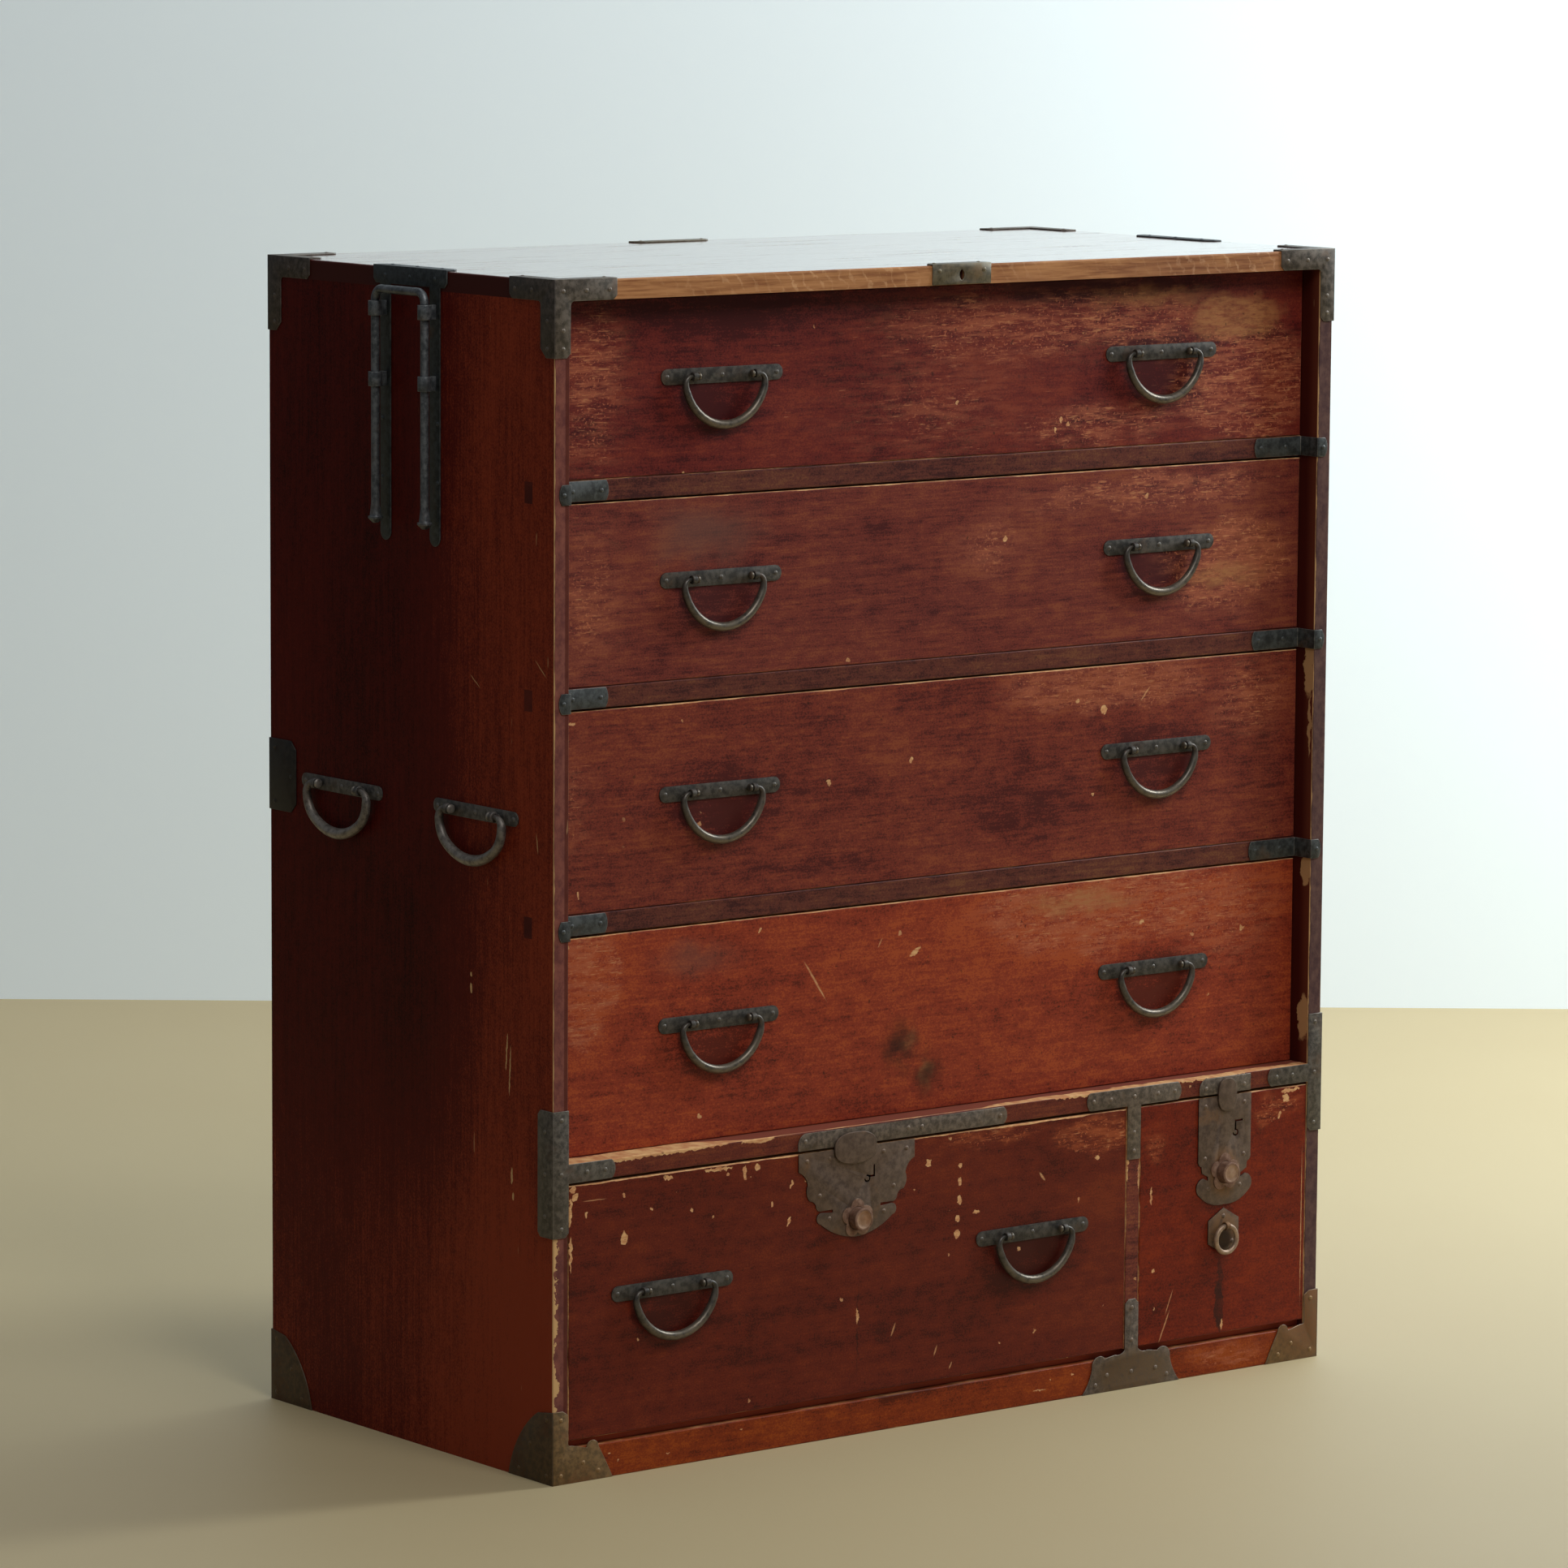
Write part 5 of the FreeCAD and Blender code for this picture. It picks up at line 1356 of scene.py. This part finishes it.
@dataclass
class Carcass:
    """The boards and irons that stand still, and the carrying bars."""

    boards: int = 4
    corner: float = 0.3
    bar_corner: float = 0.1

    def lacquered(self) -> None:
        """Dresses the boards that are lacquered."""
        left = SideLacquer(foot_line=1.0, marks=LEFT_MARKS)
        # The right board's outer colours are darker and duller than the left's: painted shade
        # against the key light on that side.
        right = SideLacquer(deep="210705", middle="471711", warm="6e3020", stile="58433f",
                            inner_line=0.6, seed=5.0, side=1, marks=RIGHT_MARKS)
        dress("side_panel_left", left.material("left_side_lacquer"))
        dress("side_panel_right", right.material("right_side_lacquer_painted_shade"))
        dress("top_panel", TopLacquer().material("top_lacquer"))
        fronts = {
            "drawer_rails": FrontLacquer(usual="5d2f26", darkness=0.05, chips=0.06, ends=True,
                                         top_line=0.25, seed=21.0),
            "main_rail": FrontLacquer(usual="61281d", top_line=0.35, top_face=True, ends=True,
                                      seed=22.0, marks=RAIL_MARKS),
            "partition": FrontLacquer(usual="6a3026", chips=0.3, side_line=0.6, seed=23.0,
                                      marks=PARTITION_MARKS),
            "base_boards": FrontLacquer(usual="7b2d0c", hair=0.8, cool=0.42, low_line=0.6,
                                        top_line=0.1, seed=24.0, marks=BASE_MARKS)}
        for node, lacquer in fronts.items():
            dress(node, lacquer.material(node + "_lacquer", Edges.of(node)))

    def unfinished(self) -> None:
        """Dresses the boards that are bare."""
        inner = BareWood(light="a98258", dark="7d5a38", seed=3.0)
        dress("dust_boards", inner.material("inner_wood"))
        dress("floor_panel", replace(inner, stained_front=True, seed=4.0).material("floor_wood"))
        back = Edges.of("back_boards")
        dress("back_boards", BareWood(
            light="a5845c", dark="7a5c3c", grain=(130.0, 130.0, 2.6), seed=6.0,
            board_width=(back.right - back.left) / self.boards).material("back_wood"))

    def irons(self) -> dict[str, IronSet]:
        """Makes the finish of each iron, by its node."""
        rusted_foot = worn(Wear.GLOW, (900, 60, 170, 170, 0, 0.8))
        browned = worn(Wear.GLOW, (674, 14, 130, 60), (60, 277, 60, 40, 0, 0.7))
        bars = IronSet("bar_iron", ForgedIron(
            base="42464a", pale="6a6e72", rust="5a4c42", bright="8a8a86", rust_amount=0.2,
            polish=0.1, seed=10.0))
        return {
            "rail_straps": IronSet("strap_iron", ForgedIron(
                base="2a2c2c", pale="484b4b", rust_amount=0.1, seed=3.0)),
            "main_rail_irons": IronSet("rail_iron", ForgedIron(
                base="4c433b", pale="786a5e", rust="624a2e", rust_amount=0.4, seed=11.0,
                marks=browned)),
            # Painted shade on these irons' parts beside the case and at its rear.
            "top_corner_irons": IronSet("corner_iron", ForgedIron(
                base="413a32", pale="6a6056", side_painted_shade=0.7, seed=5.0)),
            "bottom_corner_irons": IronSet("foot_iron", ForgedIron(
                base="624f35", pale="896c47", rust="785030", rust_amount=0.7, side_painted_shade=0.45,
                seed=8.0, marks=rusted_foot)),
            "top_edge_plates": IronSet("top_iron", ForgedIron(
                base="4e483a", pale="6e6450", rust="6e5434", seed=9.0)),
            "edge_straps": IronSet("edge_strap_iron", ForgedIron(
                base="423d38", pale="6a635a", rear_painted_shade=0.22, seed=4.0)),
            "pole_handle_plates": IronSet("pole_plate_iron", ForgedIron(
                base="24282b", pale="40464a", bright="62625f", rust_amount=0.15, seed=6.0)),
            "side_handle_plates": IronSet("side_plate_iron", ForgedIron(
                base="403e3d", pale="66625f", seed=7.0)),
            "pole_handle_guides": bars, "pole_bar_left": bars, "pole_bar_right": bars}

    def build(self) -> None:
        """Dresses the boards, then the irons."""
        self.lacquered()
        self.unfinished()
        irons = self.irons()
        dress("top_lock_bolt", irons["top_edge_plates"].face)
        for node, finish in irons.items():
            is_bar = node.startswith("pole_bar")
            WornIron(node, node if is_bar else "carcass",
                     self.bar_corner if is_bar else self.corner).build(finish)


@dataclass(frozen=True)
class Studio:
    """A pale floor and wall, soft lights, and the camera at the photo's place, in metres."""

    camera_at: Triple = (-4.0108, -5.07765, 1.43168)
    yaw: float = 38.0927
    pitch: float = 7.6297
    roll: float = -0.3688
    lens: float = 160.682
    sensor: float = 36.0
    sight: float = 60.0
    floor_size: float = 24.0
    wall_size: float = 9.0
    wall_distance: float = 8.62
    wall_shift: float = 2.6
    aim: Triple = (0.0, 0.0, 0.55)

    def camera(self) -> None:
        """Sets the camera with its turn worked out from yaw, pitch and roll."""
        yaw, pitch, roll = (math.radians(v) for v in (self.yaw, self.pitch, self.roll))
        ahead = Vector((math.sin(yaw) * math.cos(pitch), math.cos(yaw) * math.cos(pitch),
                        -math.sin(pitch)))
        level = Vector((math.cos(yaw), -math.sin(yaw), 0.0))
        down = ahead.cross(level)
        right = math.cos(roll) * level + math.sin(roll) * down
        lower = -math.sin(roll) * level + math.cos(roll) * down
        turn = Matrix((right, -lower, -ahead)).transposed()
        bpy.ops.object.camera_add()
        camera = bpy.context.object
        camera.name = "photo_camera"
        camera.matrix_world = Matrix.Translation(self.camera_at) @ turn.to_4x4()
        camera.data.lens = self.lens
        camera.data.sensor_width = self.sensor
        camera.data.clip_end = self.sight
        bpy.context.scene.camera = camera

    def surfaces(self) -> None:
        """Lays the floor and stands the wall up behind the chest."""
        bpy.ops.mesh.primitive_plane_add(size=self.floor_size)
        floor = settled(bpy.context.object, "studio_floor")
        graph = Graph("pale_floor")
        colour = graph.blend(graph.noise((1.2, 1.2, 1.2)), "ae9c76", "b6a681")
        paint(floor, graph.finish(Base_Color=colour, Roughness=0.6))
        yaw = math.radians(self.yaw)
        ahead = Vector((math.sin(yaw), math.cos(yaw), 0.0)) * self.wall_distance
        along = Vector((math.cos(yaw), -math.sin(yaw), 0.0)) * self.wall_shift
        foot = Vector(self.camera_at[:2] + (0.0,)) + ahead + along
        bpy.ops.mesh.primitive_plane_add(size=self.wall_size, rotation=(math.pi / 2, 0.0, -yaw),
                                         location=foot)
        wall = settled(bpy.context.object, "studio_wall")
        paint(wall, Graph("pale_wall").finish(Base_Color="e6f0f5", Roughness=0.8))

    def light(self, name: str, place: Triple, aim: Triple, size: float, power: float,
              colour: Triple) -> None:
        """Hangs a square soft light.

        Args:
            name: The light's name.
            place: Where it hangs.
            aim: The point that it faces.
            size: Its width.
            power: Its power in watts.
            colour: Its red, green and blue.
        """
        bpy.ops.object.light_add(type="AREA", location=place)
        lamp = bpy.context.object
        lamp.name = name
        lamp.data.shape = "SQUARE"
        lamp.data.size = size
        lamp.data.energy = power
        lamp.data.color = colour
        towards = Vector(aim) - Vector(place)
        lamp.rotation_euler = towards.to_track_quat("-Z", "Y").to_euler()

    def build(self) -> None:
        """Builds the whole studio."""
        self.surfaces()
        self.camera()
        self.light("key", (-0.7, -3.3, 4.1), self.aim, 1.9, 98.0, (1.0, 0.98, 0.95))
        self.light("wall_wash", (2.9, -0.9, 2.2), (2.5, 1.8, 1.2), 1.4, 158.0, (0.9, 0.97, 1.0))
        self.light("overhead", (0.6, 0.6, 4.6), self.aim, 3.0, 30.0, (0.95, 0.98, 1.0))
        world = bpy.data.worlds.new("soft_room")
        world.use_nodes = True
        sky = world.node_tree.nodes["Background"]
        sky.inputs["Color"].default_value = (0.84, 0.92, 1.0, 1.0)
        sky.inputs["Strength"].default_value = 0.17
        bpy.context.scene.world = world
        bpy.context.scene.view_settings.view_transform = "Standard"
        bpy.context.scene.view_settings.look = "None"
        LOG.info("built the studio")


# The worn places of each drawer's front, judged from the photo
# The dark rings and bands among these marks are partly grime and partly painted shade.
DRAWER_MARKS: dict[str, Marks] = {
    "drawer_1":
        # Painted shadow at the drawer's top, under the top board.
        worn(Wear.HALO, (240, 1026, 440, 90), (640, 1034, 560, 40))
        + worn(Wear.RUB, (55, 960, 100, 190, 0, 0.5), (440, 930, 260, 120, 0, 0.25),
               (520, 1000, 360, 90, 0, 0.5), (815, 940, 200, 130, 0, 1.4),
               (660, 1000, 300, 80, 0, 0.6), (640, 905, 260, 50, 0, 0.5))
        + worn(Wear.GLOW, (820, 935, 190, 130))
        + worn(Wear.PATCH, (806, 1000, 126, 44, 0, 1.3), (700, 1020, 150, 22, 0, 0.5))
        + worn(Wear.CHIP, (592, 912, 4, 6), (600, 908, 5, 4), (585, 903, 3, 5)),
    "drawer_2":
        # A painted sheen on the drawer's upper left.
        worn(Wear.HAZE, (180, 830, 170, 80, 0, 1.1))
        + worn(Wear.RUB, (50, 780, 90, 180, 0, 0.4), (800, 770, 190, 110),
               (700, 842, 360, 50, 0, 0.7), (510, 800, 110, 70, 0, 0.35))
        + worn(Wear.GLOW, (810, 780, 200, 160))
        + worn(Wear.PATCH, (796, 757, 104, 26, 0, 0.55))
        + worn(Wear.CHIP, (527, 806, 5, 6))
        + worn(Wear.HALO, (420, 745, 420, 40, 0, 0.4)),
    "drawer_3":
        worn(Wear.GLOW, (660, 664, 260, 50))
        + worn(Wear.RUB, (650, 664, 280, 56, 0, 1.5), (830, 640, 140, 90, 0, 0.5),
               (35, 600, 60, 150, 0, 0.3))
        + worn(Wear.CHIP, (648, 640, 8, 9), (418, 611, 5, 6), (33, 671, 16, 3), (23, 534, 4, 7),
               (43, 519, 3, 6))
        + worn(Wear.SCRATCH, (699, 652, 2, 20, 42))
        + worn(Wear.HALO, (560, 560, 360, 110, 0, 0.55), (300, 520, 380, 40, 0, 0.4)),
    "drawer_4":
        worn(Wear.GLOW, (620, 440, 560, 180), (60, 420, 160, 220, 0, 0.9),
             (660, 450, 420, 110, 0, 1.4))
        + worn(Wear.RUB, (45, 440, 90, 130, 0, 1.6), (650, 458, 330, 90, 0, 2.0),
               (800, 440, 160, 120, 0, 0.55))
        + worn(Wear.PATCH, (625, 462, 150, 26, 0, 0.6), (420, 352, 26, 20, 0, 0.5),
               (440, 318, 10, 34, 0, 0.5))
        + worn(Wear.STAIN, (408, 346, 54, 66), (440, 322, 44, 60, 0, 0.7))
        + worn(Wear.SCRATCH, (309, 418, 2.6, 54, -34), (384, 446, 2, 12, 30),
               (22, 350, 3, 16, 60))
        + worn(Wear.CHIP, (425, 434, 15, 4, -36), (246, 470, 3, 7, 30), (28, 474, 14, 8))
        # A painted sheen.
        + worn(Wear.HAZE, (175, 452, 150, 50, 0, 0.7)),
    "large_drawer":
        worn(Wear.RUB, (622, 248, 110, 44, 0, 1.2), (500, 254, 160, 18, 0, 0.6))
        + worn(Wear.GLOW, (620, 244, 120, 50, 0, 0.8))
        + worn(Wear.HALO, (130, 148, 170, 100, 0, 0.8), (531, 140, 170, 110, 0, 0.8),
               (420, 120, 260, 120, 0, 0.4))
        # The first stain is painted shadow behind the lock's key slot.
        + worn(Wear.STAIN, (351.5, 241, 18, 34, 0, 2.5), (343, 100, 3, 120, 0, 0.7))
        + worn(Wear.CHIP, (21, 263, 8, 6), (24, 256, 6, 9, 24), (19, 250, 4, 10), (18, 240, 4, 22),
               (19, 205, 3, 36), (126, 262, 12, 5), (182, 263, 34, 3.4), (212, 257, 4, 14),
               (226, 260, 6, 7), (78, 213, 9, 13), (462, 236, 6, 6), (461, 221, 6, 8),
               (461, 203, 6, 10), (459, 186, 6, 7), (458, 172, 8, 8), (481, 190, 8, 4),
               (424, 242, 7, 7), (36, 239, 3, 6), (77, 251, 3, 5), (107, 236, 4, 3),
               (152, 230, 3, 5), (193, 258, 3, 5), (243, 224, 3, 5), (265, 240, 3, 8, 20),
               (627, 224, 7, 4), (604, 187, 3, 5), (262, 206, 3, 9, 20), (342, 110, 3, 16))
        + worn(Wear.SCRATCH, (45, 251, 30, 1.2), (560, 214, 3, 13, -40), (384, 92, 2.5, 16, 24),
               (434, 66, 2, 13, 20), (452, 50, 2, 9, 30)),
    "small_drawer":
        worn(Wear.CHIP, (868, 263, 26, 4, -4), (862, 256, 10, 8, 40), (854, 240, 3, 9, 24),
             (694, 180, 2.5, 17), (697, 108, 4, 5), (784, 46, 2.5, 12))
        # The first stain is painted shadow behind the lock's key slot.
        + worn(Wear.STAIN, (792, 233, 18, 30, 0, 2.5), (781, 76, 11, 80, 0, 3.0))
        + worn(Wear.RUB, (850, 246, 70, 34, 0, 0.8), (700, 232, 40, 40, 0, 0.5))
        + worn(Wear.SCRATCH, (712, 53, 2, 40, 24), (718, 76, 1.4, 30, 22), (884, 130, 1.6, 180))
        + worn(Wear.GLOW, (850, 170, 90, 140, 0, 0.6))
        + worn(Wear.HALO, (780, 120, 70, 200, 0, 0.6))}

LACQUERS: dict[str, FrontLacquer] = {
    "drawer_1": FrontLacquer(usual="63201b", flecks=0.05, top_line=0.2, contrast=1.2, hair=1.1,
                             seed=1.0),
    "drawer_2": FrontLacquer(usual="6d2f27", flecks=0.02, contrast=0.9, seed=2.0),
    "drawer_3": FrontLacquer(usual="702e23", flecks=0.01, seed=3.0),
    "drawer_4": FrontLacquer(usual="85321f", flecks=0.03, contrast=0.8, hair=1.0, cool=0.45,
                             seed=4.0),
    "large_drawer": FrontLacquer(usual="5e1d0f", thin="a8562e", hair=0.55, cool=0.5, chips=0.13,
                                 top_line=1.0, seed=5.0),
    "small_drawer": FrontLacquer(usual="681b08", thin="a8562e", hair=0.6, cool=0.4, chips=0.14,
                                 seed=6.0)}


def lock_marks() -> Marks:
    """The rust and rosettes on the two drawer locks' plates, and painted shade on the ring's plate
    inside the ring.
    """
    low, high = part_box("small_drawer_lock_button")
    small_x = (low.x + high.x) / 2 / MM + HALF_WIDTH
    large_x = 339.5
    return (worn(Wear.GLOW, (small_x, 193, 44, 60), (small_x, 137, 50, 50, 0, 0.8),
                 (large_x, 201, 40, 34, 0, 0.5))
            + worn(Wear.PETAL, (large_x, 201, 42, 42), (small_x, 193.5, 42, 42))
            # Painted shade on the ring's plate, inside the ring.
            + worn(Wear.STAIN, (small_x, 129, 26, 26)))


def main() -> None:
    """Builds the chest and its studio."""
    logging.basicConfig(level=logging.INFO, format="%(message)s")
    Carcass().build()
    pulls = IronSet("pull_iron", ForgedIron())
    back_board = 9.5
    cross_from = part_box("drawer_1_box")[1].y / MM - back_board
    box_wood = BareWood(light="b08d64", dark="8c6a47", grain=(95.0, 1.8, 95.0),
                        cross_from=cross_from).material("box_wood")
    for name, lacquer in LACQUERS.items():
        Drawer(name, replace(lacquer, marks=DRAWER_MARKS[name]), box_wood, pulls).build()
    lock_irons = IronSet("lock_iron", ForgedIron(
        base="54443a", pale="6c594b", rust="7e5a38", bright="9a8878", rust_amount=0.3, seed=12.0,
        marks=lock_marks()))
    dish = ForgedIron(base="93735e", pale="a88a72", rust="8e6240", rust_amount=0.4, polish=0.04,
                      seed=15.0).material("rusty_dish")
    for name in ("large_drawer", "small_drawer"):
        Lock(name, lock_irons, dish).build()
    dress("small_drawer_ring", ForgedIron(
        base="8c7460", pale="b0957c", rust="7c5c42", polish=0.06, seed=16.0).material("ring_iron"))
    drawer_bail = Bail(half_width=44.0, drop=44.0, pin_r=1.8, side_r=2.7, middle_r=4.1,
                       corner_r=6.5, shoulder_r=22.0, knob_r=3.5)
    side_bail = Bail(half_width=47.3, drop=42.5, pin_r=2.3, side_r=4.0, middle_r=5.2,
                     corner_r=9.0, shoulder_r=27.0, knob_r=4.2)
    bail_iron = ForgedIron(base="3a3835", pale="4e4a46", rust="52443a", bright="6e6354",
                           polish=0.1, handled=True, metal=0.55, seed=18.0)
    side_bail_iron = ForgedIron(base="4c4744", pale="76706a", bright="8a837b", handled=True,
                                seed=19.0)
    Handles(drawer_bail, side_bail, bail_iron.material("handled_iron"),
            side_bail_iron.material("side_bail_iron")).build()
    Studio().build()


if __name__ == "__main__":
    main()
